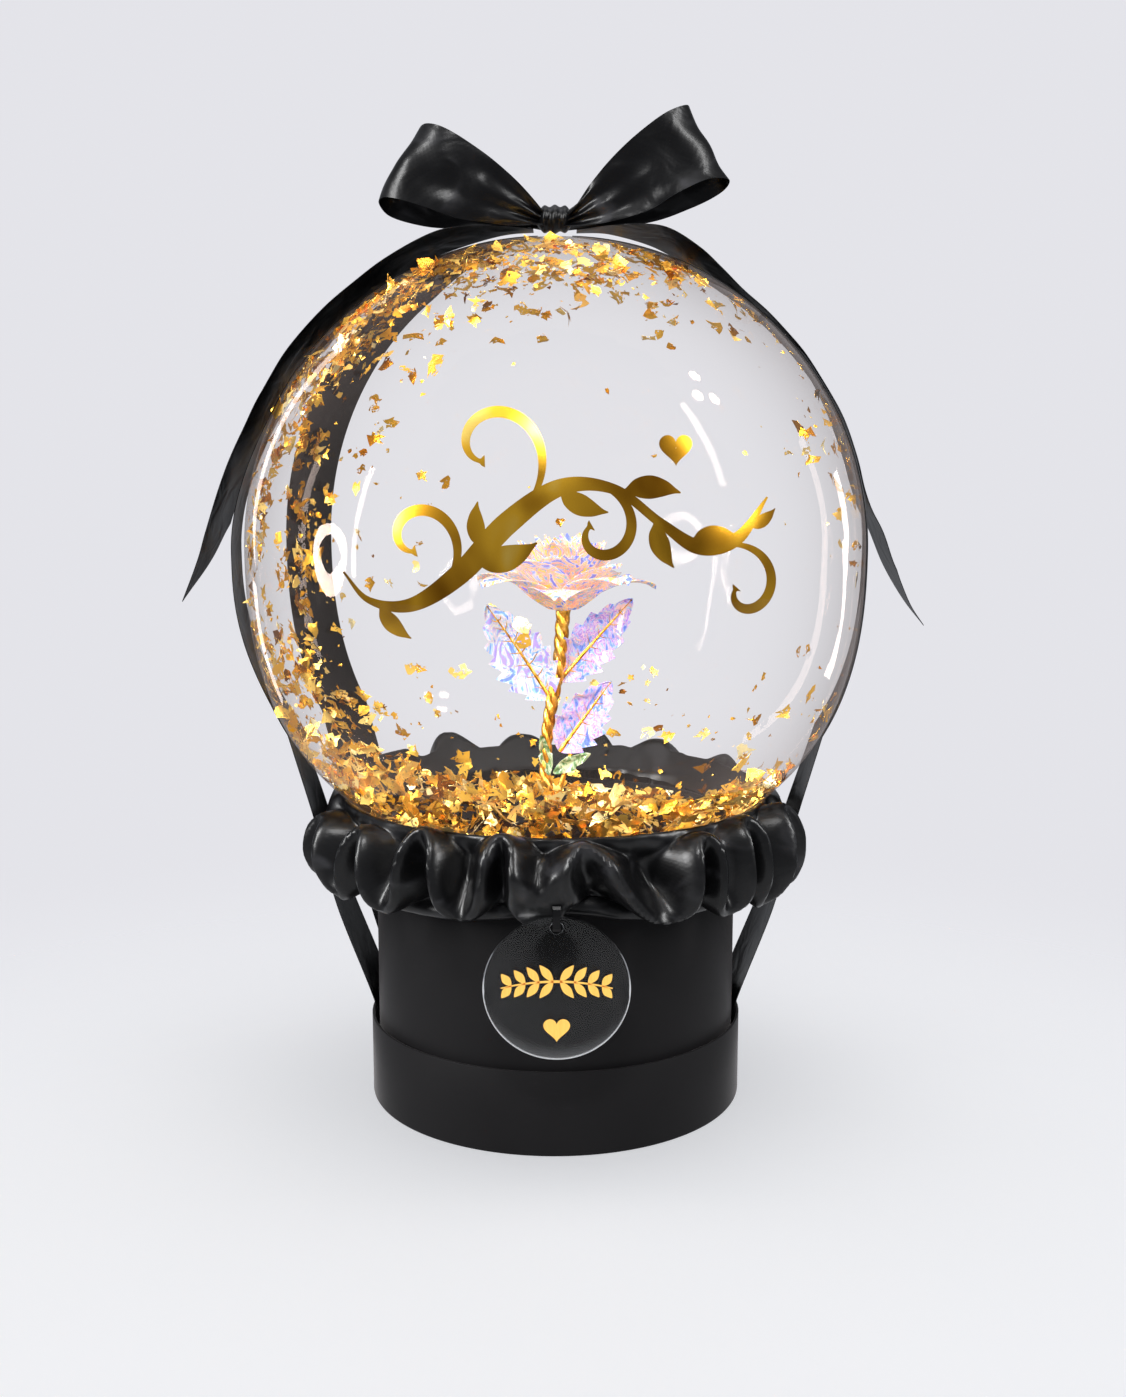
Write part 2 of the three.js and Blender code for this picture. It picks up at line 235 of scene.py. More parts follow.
# Gold of three kinds: polished on the film with painted reflection streaks, brushed on the tag with a painted
# glow, and hammered on the rose's stem.
goldSettings = {
    'polishedWithPaintedStreaks': [(0.3, (0.26, 0.105, 0.006)), (0.47, (0.52, 0.25, 0.016)), (0.6, (0.9, 0.49, 0.035)),
                 (0.72, (1.0, 0.7, 0.16))],
    'brushed': ((0.85, 0.42, 0.07), (1.0, 0.62, 0.15)), 'brushedPaintedGlow': (0.8, 0.42, 0.08),
    'hammered': [(0.3, (0.25, 0.09, 0.01)), (0.5, (0.72, 0.34, 0.03)), (0.66, (1.0, 0.62, 0.16))],
    'hammerDepth': 0.001,
}


def mirrorGoldFinish():
    f = Finish('mirrorGold')
    # painted reflection: the colour runs from dark amber to pale gold in broad slanted streaks, like
    # reflections of the room
    drift = f.cloud(f.place('Object', (1, 1, 0.8), (0, 0.7, 0)), 30, 2, 0.5, 0.5)
    return f.show(f.principled(Base_Color=f.ramp(drift, goldSettings['polishedWithPaintedStreaks']), Metallic=1.0, Roughness=0.2))


def tagGoldFinish():
    f = Finish('tagGold')
    brushed = f.cloud(f.place('Object', (14, 1, 1)), 120, 3)
    deep, pale = goldSettings['brushed']
    colour = f.blend(brushed, (*deep, 1), (*pale, 1))
    # painted glow: the brushed gold gives off a faint light of its own
    return f.show(f.principled(Base_Color=colour, Metallic=0.55, Roughness=0.38,
                               Emission_Color=(*goldSettings['brushedPaintedGlow'], 1), Emission_Strength=0.12))


def stemGoldFinish():
    f = Finish('stemGold')
    hammered = f.cloud(f.place('Object', (1, 1, 0.5)), 330, 3, 0.6, 0.8)
    colour = f.ramp(hammered, goldSettings['hammered'])
    return f.show(f.principled(Base_Color=colour, Metallic=0.9, Roughness=0.3,
                               Normal=f.bump(hammered, 0.7, goldSettings['hammerDepth'])))


acrylicSettings = {'tone': (0.93, 0.95, 0.95), 'bend': 1.22, 'rim': (0.86, 0.87, 0.88), 'rimFrom': (0.14, 0.3),
                   'rimShare': 0.85}


def acrylicFinish():
    f = Finish('clearAcrylic')
    s = acrylicSettings
    smears = f.cloud(f.place('Object'), 60, 2)
    clear = f.principled(Base_Color=(*s['tone'], 1), Roughness=0.02 + smears * 0.03, IOR=s['bend'],
                         Transmission_Weight=1.0)
    # the cut edge gathers light
    facing = f.node('LayerWeight', None, {'Blend': 0.5}, output='Facing')
    rim = f.principled(Base_Color=(*s['rim'], 1), Roughness=0.12, Metallic=1.0)
    share = facing.between(*s['rimFrom']) * s['rimShare']
    return f.show(f.node('MixShader', None, {'Fac': share, 1: clear, 2: rim}))


# Thin film petals and leaves that shine in several pale colours at once, in swirled bands, and give off a
# painted glow in those colours.
irisSettings = {'swirl': 3.6, 'shardSize': 190, 'shardShare': 0.14, 'spread': (0.3, 0.7), 'bandDepth': 0.0012}


def irisFinish(name, stops, share, size=105, glow=0.08):
    f = Finish(name)
    s = irisSettings
    bands = f.cloud(f.place('Object', (1.3, 1, 0.8)), size, 2, 0.5, s['swirl'])
    where = f.place('Object', (1, 1, 0.5), (0, 0.5, 0))
    shards = f.node('TexVoronoi', {'feature': 'F1'}, {'Vector': where, 'Scale': s['shardSize']}, output='Color')
    shardTone = f.node('SeparateXYZ', None, {'Vector': shards})
    mixed = bands * (1 - s['shardShare']) + shardTone * s['shardShare']
    colour = f.ramp(mixed.between(*s['spread']), stops)
    clear = f.node('BsdfTransparent', None, {'Color': (1, 1, 1, 1)})
    facing = f.node('LayerWeight', None, {'Blend': 0.4}, output='Facing')
    # painted glow: the film gives off its own colours as light, by glow, to brighten petals and leaves
    skin = f.principled(Base_Color=colour, Roughness=0.18, Coat_Weight=0.6, Emission_Color=colour,
                        Emission_Strength=glow, Normal=f.bump(bands, 0.5, s['bandDepth']))
    return f.show(f.node('MixShader', None, {'Fac': share + facing * (1 - share), 1: clear, 2: skin}))


def makePiece(name, points, faces, material, slot=None, replaces=(), uv=None, tint=None, sharp=40):
    mesh = bpy.data.meshes.new(name)
    mesh.from_pydata((np.asarray(points, float) * millimetre).tolist(), [], faces)
    mesh.validate()
    mesh.polygons.foreach_set('use_smooth', [True] * len(mesh.polygons))
    mesh.set_sharp_from_angle(angle=math.radians(sharp))
    if uv is not None:
        layer = mesh.uv_layers.new(name='cloth')
        index = np.zeros(len(mesh.loops), int)
        mesh.loops.foreach_get('vertex_index', index)
        layer.data.foreach_set('uv', (np.asarray(uv)[index] * millimetre).ravel())
    if tint is not None:
        mesh.attributes.new('tint', 'FLOAT', 'POINT').data.foreach_set('value', np.asarray(tint, np.float32))
    mesh.materials.append(material)
    piece = bpy.data.objects.new(name, mesh)
    bpy.context.scene.collection.objects.link(piece)
    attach(piece, 'root')
    if replaces:
        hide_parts(*replaces)
    return piece


def smoothStep(low, high, value):
    t = np.clip((np.asarray(value, float) - low) / (high - low), 0, 1)
    return t * t * (3 - 2 * t)


# A smooth curve through stops, read at several places from 0 to 1.
def throughStops(stops, places):
    stops = np.asarray(stops, float)
    last = len(stops) - 1
    at = np.clip(np.asarray(places, float), 0, 1) * last
    index = np.minimum(at.astype(int), last - 1)
    t = (at - index)[:, None]
    padded = np.vstack([2 * stops[0] - stops[1], stops, 2 * stops[-1] - stops[-2]])
    a, b, c, d = (padded[index + k] for k in range(4))
    return 0.5 * (2 * b + (c - a) * t + (2 * a - 5 * b + 4 * c - d) * t ** 2 + (3 * b - a - 3 * c + d) * t ** 3)


def lengthAlong(line):
    steps = np.linalg.norm(np.diff(line, axis=0), axis=1)
    return np.concatenate([[0], np.cumsum(steps)])


# Even spacing along a curve through stops.
def evenCurve(stops, count):
    fine = throughStops(stops, np.linspace(0, 1, 1200))
    travel = lengthAlong(fine)
    places = np.linspace(0, travel[-1], count)
    return np.stack([np.interp(places, travel, fine[:, k]) for k in range(fine.shape[1])], axis=1)


def unit(vectors):
    return vectors / np.maximum(np.linalg.norm(vectors, axis=-1, keepdims=True), 1e-9)


# A hump of height 1 that falls away on both sides of its middle.
def hump(value, middle, spread):
    return np.exp(-((value - middle) / spread) ** 2)


# Smooth noise at each place of three grids.
def noiseOver(x, y, z):
    places = np.stack(np.broadcast_arrays(x, y, z), axis=-1)
    return np.array([noise.noise(Vector(place)) for place in places.reshape(-1, 3)]).reshape(places.shape[:-1])


# Four-sided faces between neighbouring rings of points. The last ring may join the first, each ring may be
# left open, and inward faces are wound the other way.
def quadsBetween(rings, count, ringsJoin=False, ringsOpen=False, inward=False):
    faces = []
    for r in range(rings if ringsJoin else rings - 1):
        q = (r + 1) % rings
        for s in range(count - 1 if ringsOpen else count):
            t = (s + 1) % count
            a, b, c, d = r * count + s, r * count + t, q * count + t, q * count + s
            faces.append((a, d, c, b) if inward else (a, b, c, d))
    return faces


# Thin closed sheet from a grid of points on its middle surface; joined sheets close on themselves.
def sheetShell(grid, thickness, joined=False):
    rows, columns = grid.shape[:2]
    if joined:
        along = np.roll(grid, -1, 0) - np.roll(grid, 1, 0)
    else:
        along = np.gradient(grid, axis=0)
    normal = unit(np.cross(along, np.gradient(grid, axis=1)))
    points = np.concatenate([(grid + normal * thickness / 2).reshape(-1, 3),
                             (grid - normal * thickness / 2).reshape(-1, 3)])
    under = rows * columns
    faces = []
    lastRow = rows if joined else rows - 1
    for r in range(lastRow):
        s = (r + 1) % rows
        for c in range(columns - 1):
            a, b, d, e = r * columns + c, r * columns + c + 1, s * columns + c + 1, s * columns + c
            faces.append((a, e, d, b))
            faces.append((a + under, b + under, d + under, e + under))
        for c, flip in ((0, False), (columns - 1, True)):
            a, e = r * columns + c, s * columns + c
            rim = (a, a + under, e + under, e)
            faces.append(rim[::-1] if flip else rim)
    if not joined:
        for r, flip in ((0, True), (rows - 1, False)):
            for c in range(columns - 1):
                a, b = r * columns + c, r * columns + c + 1
                rim = (a, a + under, b + under, b)
                faces.append(rim[::-1] if flip else rim)
    travel = np.concatenate([[0], np.cumsum(np.linalg.norm(np.diff(grid, axis=0), axis=2).mean(axis=1))])
    width = np.concatenate([[0], np.cumsum(np.linalg.norm(np.diff(grid, axis=1), axis=2).mean(axis=0))])
    uv = np.stack(np.meshgrid(travel, width, indexing='ij'), axis=2).reshape(-1, 2)
    return points, faces, np.vstack([uv, uv])


# Solid turned about the Z axis from a profile of (radius, height) that starts and ends on the axis.
def turnedShell(profile, segments):
    profile = np.asarray(profile, float)
    inner = profile[1:-1]
    turn = np.linspace(0, 2 * np.pi, segments, endpoint=False)
    rings = np.stack([inner[:, None, 0] * np.cos(turn), inner[:, None, 0] * np.sin(turn),
                      np.repeat(inner[:, 1:2], segments, axis=1)], axis=2)
    points = np.vstack([rings.reshape(-1, 3), [(0, 0, profile[0, 1])], [(0, 0, profile[-1, 1])]])
    first, last = len(points) - 2, len(points) - 1
    top = (len(inner) - 1) * segments
    faces = quadsBetween(len(inner), segments)
    for s in range(segments):
        t = (s + 1) % segments
        faces += [(first, t, s), (last, top + s, top + t)]
    return points, faces


# Round bar along a line, closed at both ends; radius may change along it.
def barShell(line, radius, sides=10):
    line = np.asarray(line, float)
    radius = np.broadcast_to(radius, len(line))
    along = unit(np.gradient(line, axis=0))
    side = np.cross(along[0], (0.3, 0.9, 0.2))
    points, turn = [], np.linspace(0, 2 * np.pi, sides, endpoint=False)
    for place, direction, r in zip(line, along, radius):
        side = unit(side - direction * side.dot(direction))
        other = np.cross(direction, side)
        points.append(place + r * (np.cos(turn)[:, None] * side + np.sin(turn)[:, None] * other))
    points = np.concatenate(points)
    ends = [tuple(range(sides))[::-1], tuple(range(len(points) - sides, len(points)))]
    return points, ends + quadsBetween(len(line), sides)


def joinShells(shells):
    points, faces, count = [], [], 0
    for shellPoints, shellFaces in shells:
        points.append(shellPoints)
        faces += [tuple(index + count for index in face) for face in shellFaces]
        count += len(shellPoints)
    return np.concatenate(points), faces


# The camera stands where the photograph was taken from.
cameraSettings = {'place': (3.7, -797, 324), 'downTilt': 9.25, 'lens': 42.88, 'sensor': 36}


def makeCamera():
    lens = bpy.data.cameras.new('camera')
    lens.lens = cameraSettings['lens']
    lens.sensor_width = cameraSettings['sensor']
    camera = bpy.data.objects.new('camera', lens)
    camera.location = Vector(cameraSettings['place']) * millimetre
    camera.rotation_euler = (math.radians(90 - cameraSettings['downTilt']), 0, 0)
    bpy.context.scene.collection.objects.link(camera)
    bpy.context.scene.camera = camera


# Lights are named by where they stand round the balloon: azimuth 0 is in front and 90 to the right.
# Film lights shine on the film alone and foil lights on the foil. The room's lamp lights all but the film,
# and cloth lights leave out the floor as well.
softboxes = {
    'keyLeft': {'at': (-58, 26, 1500), 'size': (190, 1000), 'power': 38, 'on': 'cloth'},
    'fillRight': {'at': (64, 28, 1500), 'size': (150, 900), 'power': 22, 'on': 'cloth'},
    'front': {'at': (-4, 46, 1600), 'size': (420, 200), 'power': 14, 'on': 'cloth'},
    'overhead': {'at': (0, 84, 1500), 'size': (1800, 1800), 'power': 15, 'on': 'room'},
    'stripLeft': {'at': (-71, 10, 1500), 'size': (60, 800), 'power': 4.5, 'on': 'film'},
    'stripRight': {'at': (62, 34, 1500), 'size': (70, 700), 'power': 4, 'on': 'film'},
    'rimLeft': {'at': (-136, 6, 1300), 'size': (110, 1300), 'power': 1.7, 'on': 'film'},
    'rimRight': {'at': (124, -4, 1300), 'size': (110, 700), 'power': 1.6, 'on': 'film'},
    'foilLeft': {'at': (-30, 34, 1300), 'size': (160, 160), 'power': 16, 'on': 'foil'},
    'foilRight': {'at': (38, 52, 1300), 'size': (160, 160), 'power': 14, 'on': 'foil'},
    'foilFront': {'at': (4, 12, 1300), 'size': (240, 240), 'power': 18, 'on': 'foil'},
}
ringLights = {
    'ringRight': {'at': (43, 7, 1500), 'radius': 175, 'bar': 40, 'glow': 34},
    'ringLeft': {'at': (-82, 0, 1500), 'radius': 160, 'bar': 40, 'glow': 44},
}
bulbs = {'spots': ((72, 47), (79, 44), (81, 52)), 'distance': 1500, 'radius': 45, 'glow': 90}
lampColour = (1, 0.99, 0.97)
lightTarget = (0, 0, 262)
# what each lamp shines on, filled in as the lamps are made
lampTargets = {}


def roundTarget(azimuth, elevation, distance):
    a, e = math.radians(azimuth), math.radians(elevation)
    out = Vector((math.sin(a) * math.cos(e), -math.cos(a) * math.cos(e), math.sin(e)))
    return (Vector(lightTarget) + out * distance) * millimetre, out


def ringShell(radius, bar, around=64, sides=12):
    a = np.linspace(0, 2 * np.pi, around, endpoint=False)[:, None]
    b = np.linspace(0, 2 * np.pi, sides, endpoint=False)[None]
    reach = radius + bar * np.cos(b)
    points = np.stack([reach * np.cos(a), reach * np.sin(a), bar * np.sin(b) + 0 * a], axis=2)
    return points.reshape(-1, 3), quadsBetween(around, sides, ringsJoin=True, inward=True)


def discShell(radius, sides=24):
    turn = np.linspace(0, 2 * np.pi, sides, endpoint=False)
    return np.stack([radius * np.cos(turn), radius * np.sin(turn), 0 * turn], axis=1), [tuple(range(sides))]


def makeLights():
    for name, s in softboxes.items():
        light = bpy.data.lights.new(name, 'AREA')
        light.shape = 'RECTANGLE'
        light.size, light.size_y = (side * millimetre for side in s['size'])
        light.energy = s['power']
        place, out = roundTarget(*s['at'])
        box = bpy.data.objects.new(name, light)
        box.location = place
        box.rotation_euler = out.to_track_quat('Z', 'Y').to_euler()
        box.visible_camera = False
        bpy.context.scene.collection.objects.link(box)
        lampTargets[name] = s['on']
    for name, s in ringLights.items():
        makeLamp(name, *ringShell(s['radius'], s['bar']), s['glow'], *roundTarget(*s['at']))
    for number, spot in enumerate(bulbs['spots']):
        disc = discShell(bulbs['radius'])
        makeLamp(f'bulb{number}', *disc, bulbs['glow'], *roundTarget(*spot, bulbs['distance']))


def makeLamp(name, points, faces, glow, place, out):
    f = Finish(name)
    f.show(f.node('Emission', None, {'Color': (*lampColour, 1), 'Strength': glow}))
    mesh = bpy.data.meshes.new(name)
    mesh.from_pydata((points * millimetre).tolist(), [], faces)
    mesh.materials.append(f.material)
    lamp = bpy.data.objects.new(name, mesh)
    lamp.location = place
    lamp.rotation_euler = out.to_track_quat('Z', 'Y').to_euler()
    lamp.visible_camera = False
    lamp.visible_shadow = False
    bpy.context.scene.collection.objects.link(lamp)
    lampTargets[name] = 'film'


def aimLights(lit, leftOut):
    for name, target in lampTargets.items():
        targets = bpy.data.collections.new(name + 'Targets')
        for piece in (lit | leftOut)[target]:
            targets.objects.link(piece)
        for entry in targets.collection_objects:
            entry.light_linking.link_state = 'INCLUDE' if target in lit else 'EXCLUDE'
        bpy.data.objects[name].light_linking.receiver_collection = targets


# A pale room: one colour where the camera sees it and another, dimmer one as light.
roomSettings = {'seen': (0.776, 0.776, 0.818), 'light': (0.9, 0.93, 1.0), 'strength': 0.34}
floorSettings = {'radius': 1000, 'forward': 200, 'tones': ((0.6, 0.6, 0.605), (0.62, 0.62, 0.625)),
                 'glow': (0.96, 0.97, 1.0), 'glowStrength': 0.49, 'fade': (0.22, 0.72)}


def makeRoom():
    world = bpy.data.worlds.new('room')
    bpy.context.scene.world = world
    room = Finish('room', world)
    s = roomSettings
    seen = room.node('Background', None, {'Color': (*s['seen'], 1), 'Strength': 1.0})
    light = room.node('Background', None, {'Color': (*s['light'], 1), 'Strength': s['strength']})
    direct = room.node('LightPath', output='Is Camera Ray')
    both = room.node('MixShader', None, {'Fac': direct, 1: light, 2: seen})
    room.node('OutputWorld', None, {'Surface': both})
    bpy.context.scene.view_settings.view_transform = 'Standard'


# The floor fades into the room.
def makeFloor():
    f = Finish('paleFloor')
    s = floorSettings
    where = f.place('Object')
    reach = f.node('VectorMath', {'operation': 'LENGTH'}, {0: where}, output='Value')
    first, second = s['tones']
    tone = f.blend(f.cloud(where, 3, 2), (*first, 1), (*second, 1))
    pale = f.principled(Base_Color=tone, Roughness=0.6, Specular_IOR_Level=0.2,
                        Emission_Color=(*s['glow'], 1), Emission_Strength=s['glowStrength'])
    clear = f.node('BsdfTransparent')
    f.show(f.node('MixShader', None, {'Fac': reach.between(*s['fade']), 1: pale, 2: clear}))
    bpy.ops.mesh.primitive_circle_add(vertices=96, radius=s['radius'] * millimetre, fill_type='NGON')
    floor = bpy.context.object
    floor.location.y = -s['forward'] * millimetre
    floor.name = 'floor'
    floor.data.materials.append(f.material)
    return floor


makeCamera()
makeRoom()
floor = makeFloor()
makeLights()
print('camera, room and lights are in place')

# The bubble is a little wider than tall, and sags to a fuller curve below its middle.
bubble = {'radius': 146.2, 'halfHeight': 144.3, 'centre': 266.6, 'fullness': 2.45,
          'neckRadius': 6, 'knotRadius': 8.5, 'neckEnd': 98, 'neckAngle': 178.5,
          'gathers': 17, 'gatherDepth': 0.05, 'gatherFade': 7}


def bubblePoint(angle):
    # radius and height on the film, by the angle in degrees from the crown
    angle = np.radians(np.asarray(angle, float))
    power = np.where(angle > np.pi / 2, 2 / bubble['fullness'], 1.0)
    across = np.sin(angle) ** power
    rise = np.sign(np.pi / 2 - angle) * np.abs(np.cos(angle)) ** power
    return bubble['radius'] * across, bubble['centre'] + bubble['halfHeight'] * rise


def undersideHeight(radius):
    share = np.clip(np.asarray(radius, float) / bubble['radius'], 0, 1)
    reach = (1 - share ** bubble['fullness']) ** (1 / bubble['fullness'])
    return bubble['centre'] - bubble['halfHeight'] * reach


def makeFilm():
    radius, height = bubblePoint(np.linspace(bubble['neckAngle'], 0, 110))
    end, knot, neck = bubble['neckEnd'], bubble['knotRadius'], bubble['neckRadius']
    profile = [(0, end), (knot * 0.8, end), (knot, end + 0.6), (neck + 0.4, end + 5), (neck, end + 6.5),
               (knot * 0.95, end + 8), (knot, end + 10), (knot * 0.95, end + 12), (neck, end + 13.5)]
    profile += list(zip(radius, height))
    profile[-1] = (0, profile[-1][1])
    points, faces = turnedShell(profile, 180)
    # gathers run up from the tie
    around = np.arctan2(points[:, 1], points[:, 0])
    pull = np.exp(-np.maximum(points[:, 2] - end - 12, 0) / bubble['gatherFade']) * bubble['gatherDepth']
    across = 1 + pull * np.cos(around * bubble['gathers'] + 2 * np.sin(around * 3))
    points[:, 0] *= across
    points[:, 1] *= across
    return makePiece('bubbleFilm', points, faces, filmFinish(), 'clear_film', ['balloon'])


film = makeFilm()
print('film is blown up')

# The box and the upturned lid that it stands in.
hatBox = {'lidRadius': 91, 'lidHeight': 39.8, 'lidWall': 1.2, 'lidFloor': 1.5, 'radius': 87.5, 'wall': 1.5,
          'rim': 136.6, 'gap': 0.3, 'bevel': 0.45}


def cupProfile(radius, foot, rim, wall, floor, bevel):
    inner = radius - wall
    return [(0, foot), (radius - bevel * 2, foot), (radius - bevel * 0.6, foot + bevel * 0.3),
            (radius - bevel * 0.15, foot + bevel), (radius, foot + bevel * 2),
            (radius, foot + (rim - foot) / 2), (radius, rim - bevel),
            (radius - bevel * 0.3, rim - bevel * 0.3), (radius - bevel, rim),
            (inner + bevel * 0.7, rim), (inner + bevel * 0.2, rim - bevel * 0.2), (inner, rim - bevel * 0.8),
            (inner, floor + 1), (inner - 1, floor), (0, floor)]


def makeHatBox():
    paper = paperFinish()
    h = hatBox
    lid = cupProfile(h['lidRadius'], 0, h['lidHeight'], h['lidWall'], h['lidFloor'], h['bevel'])
    makePiece('hatBoxLid', *turnedShell(lid, 192), paper, 'box_paper', ['lid_tray'])
    foot = h['lidFloor'] + h['gap']
    body = cupProfile(h['radius'], foot, h['rim'], h['wall'], foot + h['wall'], h['bevel'])
    makePiece('hatBoxBody', *turnedShell(body, 192), paper, 'box_paper', ['box_body'])


makeHatBox()
print('box and lid are made')

# All the ribbon comes from one reel.
ribbon = {'width': 38, 'thickness': 0.35, 'clearance': 0.85}
straps = {
    'strap_left': {'middle': 184, 'foot': 176, 'slack': 5},
    'strap_right': {'middle': -7, 'foot': 4, 'slack': 0},
    'strap_back': {'middle': 151.5, 'foot': 148.5, 'slack': 0},
}
# Each strap starts at an angle from the crown, leaves the film at another, and then passes the ruffle's rim
# by radius and height.
strapPath = {'gather': 0.235, 'top': 3.2, 'leave': 122, 'slackFrom': (62, 90), 'slackTo': (118, 92),
             'over': (116, 134), 'under': (107, 94), 'inLid': 88.65, 'foot': 12, 'columns': 15}


def strapGrid(settings):
    angle = np.linspace(strapPath['top'], strapPath['leave'], 90)
    loose = smoothStep(*strapPath['slackFrom'], angle) * smoothStep(*strapPath['slackTo'], angle)
    radius, height = bubblePoint(angle)
    lift = ribbon['clearance'] + settings['slack'] * loose
    radius = radius * (1 + lift / bubble['radius'])
    height = bubble['centre'] + (height - bubble['centre']) * (1 + lift / bubble['halfHeight'])
    inLid, foot = strapPath['inLid'], strapPath['foot']
    lidHeight = hatBox['lidHeight']
    rest = evenCurve([(radius[-1], height[-1]), strapPath['over'], strapPath['under'],
                      (inLid, lidHeight + 2), (inLid, (lidHeight + foot) / 2), (inLid, foot)], 60)
    radius = np.concatenate([radius, rest[1:, 0]])
    height = np.concatenate([height, rest[1:, 1]])
    middle, footAzimuth = settings['middle'], settings['foot']
    side = middle - (180 if middle > 90 else 0)
    crown = middle - side if abs(side) < 15 else middle
    upper = smoothStep(bubble['centre'] + bubble['halfHeight'], bubble['centre'], height)
    lower = smoothStep(bubble['centre'], hatBox['lidHeight'], height)
    azimuth = crown + (middle - crown) * upper + (footAzimuth - middle) * lower
    half = np.minimum(ribbon['width'] / 2, strapPath['gather'] * radius)
    across = np.linspace(-1, 1, strapPath['columns'])
    angle = np.radians(azimuth)[:, None] + across * (half / radius)[:, None]
    return np.stack([radius[:, None] * np.cos(angle), radius[:, None] * np.sin(angle),
                     height[:, None] + 0 * angle], axis=2)


def wobble(grid, size, amount, seed):
    # soft unevenness of cloth, square to the sheet
    normal = unit(np.cross(np.gradient(grid, axis=0), np.gradient(grid, axis=1)))
    shift = noiseOver(grid[..., 0] / size + seed, grid[..., 1] / size, grid[..., 2] / size)
    return grid + normal * (shift * amount)[..., None]


def makeStraps(satin):
    for name, settings in straps.items():
        grid = strapGrid(settings)
        points, faces, uv = sheetShell(grid, ribbon['thickness'])
        piece = makePiece(name + '_ribbon', points, faces, satin, 'ribbon_satin', [name], uv)


# A tail follows stops of x, y, z and tilt; tilt turns the near edge outwards.
tails = {
    'tail_left': {'longEdge': 1, 'seed': 8, 'stops': [
        (-10, 0, 413.9, 0), (-28, 0, 413.7, 6), (-51.5, 0, 409.3, 9), (-72.5, 0, 398.8, 9),
        (-100.1, 0, 379.4, 8.5), (-121.4, 0, 356.7, 8.5), (-133.7, 0, 337.7, 8.5), (-141, 0, 323.8, 8),
        (-149.2, 0, 307.6, 7), (-156.4, 0, 289.5, 6), (-161.6, 0, 274.4, 6), (-165.2, 0, 262.2, 6),
        (-172.8, 0, 242.5, 6)]},
    'tail_right': {'longEdge': -1, 'seed': 3, 'stops': [
        (10, 0, 413.9, 0), (28, 0, 414.6, 6), (47.5, 0, 411.8, 9), (64, 1, 403, 9),
        (75, 4, 394.8, 7), (86, 8, 386, 3), (99.2, 11, 375.4, 1), (117.2, 12, 357, 0),
        (131.2, 12, 335.5, 0), (141.3, 12, 312, 0), (146.2, 12, 294.5, 0), (149.6, 12, 285, 0),
        (154.8, 12, 275, 0), (162, 12, 258.5, 0), (172, 12, 241.5, 0), (184, 12, 226, 0)]},
}
tailCut = {'gather': 45, 'gathered': 0.35, 'rows': 150, 'columns': 17, 'wobbleSize': 26, 'wobble': 0.9}


def makeTails(satin):
    for name, settings in tails.items():
        line = evenCurve(settings['stops'], 600)
        travel = lengthAlong(line[:, :3])
        outward = math.copysign(1, line[-1, 0])
        across = np.linspace(-1, 1, tailCut['columns'])
        cut = ribbon['width'] * (1 - across * settings['longEdge']) / 2
        places = np.linspace(0, 1, tailCut['rows'])[:, None] * (travel[-1] - cut)
        middle = np.stack([np.interp(places, travel, line[:, k]) for k in range(4)], axis=2)
        heading = np.gradient(line[:, :3], axis=0)
        along = unit(np.stack([np.interp(places, travel, heading[:, k]) for k in range(3)], axis=2))
        outside = unit(np.stack([-along[..., 2], 0 * along[..., 0], along[..., 0]], axis=2)) * outward
        gathered = tailCut['gathered']
        spread = gathered + (1 - gathered) * smoothStep(0, tailCut['gather'], places)
        reach = across * spread * ribbon['width'] / 2
        tilt = np.radians(middle[..., 3])
        grid = middle[..., :3] + outside * (reach * np.sin(tilt))[..., None]
        grid[..., 1] -= reach * np.cos(tilt)
        grid = wobble(grid, tailCut['wobbleSize'], tailCut['wobble'], settings['seed'])
        points, faces, uv = sheetShell(grid, ribbon['thickness'])
        piece = makePiece(name + '_ribbon', points, faces, satin, 'ribbon_satin', [name], uv)


# Each loop of the bow runs between two edges, from the front of the knot round to its back.
bow = {
    'bow_loop_left': {
        'seed': 5, 'fanPhase': 1.3,
        'upper': [(-5, -7, 421), (-17, -12.5, 434.5), (-33, -14, 447.5), (-48.2, -12, 457.2), (-58.5, -7, 461),
                  (-62.3, -1, 459.8), (-58, 5, 457.5), (-45, 9, 449.5), (-29, 9.5, 437), (-5, 6, 420.5)],
        'lower': [(-5, -7, 415), (-27, -12.5, 416), (-44, -14, 418), (-63, -13, 424.5), (-77, -7.5, 428),
                  (-81, 0, 426), (-76.5, 6.5, 421), (-60, 9.5, 417), (-38, 9, 416.2), (-5, 6, 415)]},
    'bow_loop_right': {
        'seed': 9, 'fanPhase': 2.4,
        'upper': [(5, -7, 421), (16, -12, 433.9), (27.4, -14, 446.2), (39.2, -13, 456.8), (51, -8.5, 465.5),
                  (60.5, -2, 469.6), (60, 5, 466), (46, 9, 457), (29, 9.5, 441), (5, 6, 420.5)],
        'lower': [(5, -7, 415), (24, -12.5, 416.5), (42, -14, 421), (56, -14, 429.5), (72, -8.5, 437.2),
                  (80.5, -1, 437.5), (78, 6.5, 432.5), (64, 9.5, 425.5), (42, 9, 418.5), (5, 6, 415)]},
}
bowCreases = {'folds': 15, 'depth': 1.5, 'fade': 0.13, 'swell': 1.2, 'wobbleSize': 17, 'wobble': 2.2}
bowKnot = {'centre': (-0.2, -0.5, 419.2), 'half': (8.6, 10, 6.5), 'pleats': 3.5, 'depth': 0.09, 'around': 96,
           'along': 41}


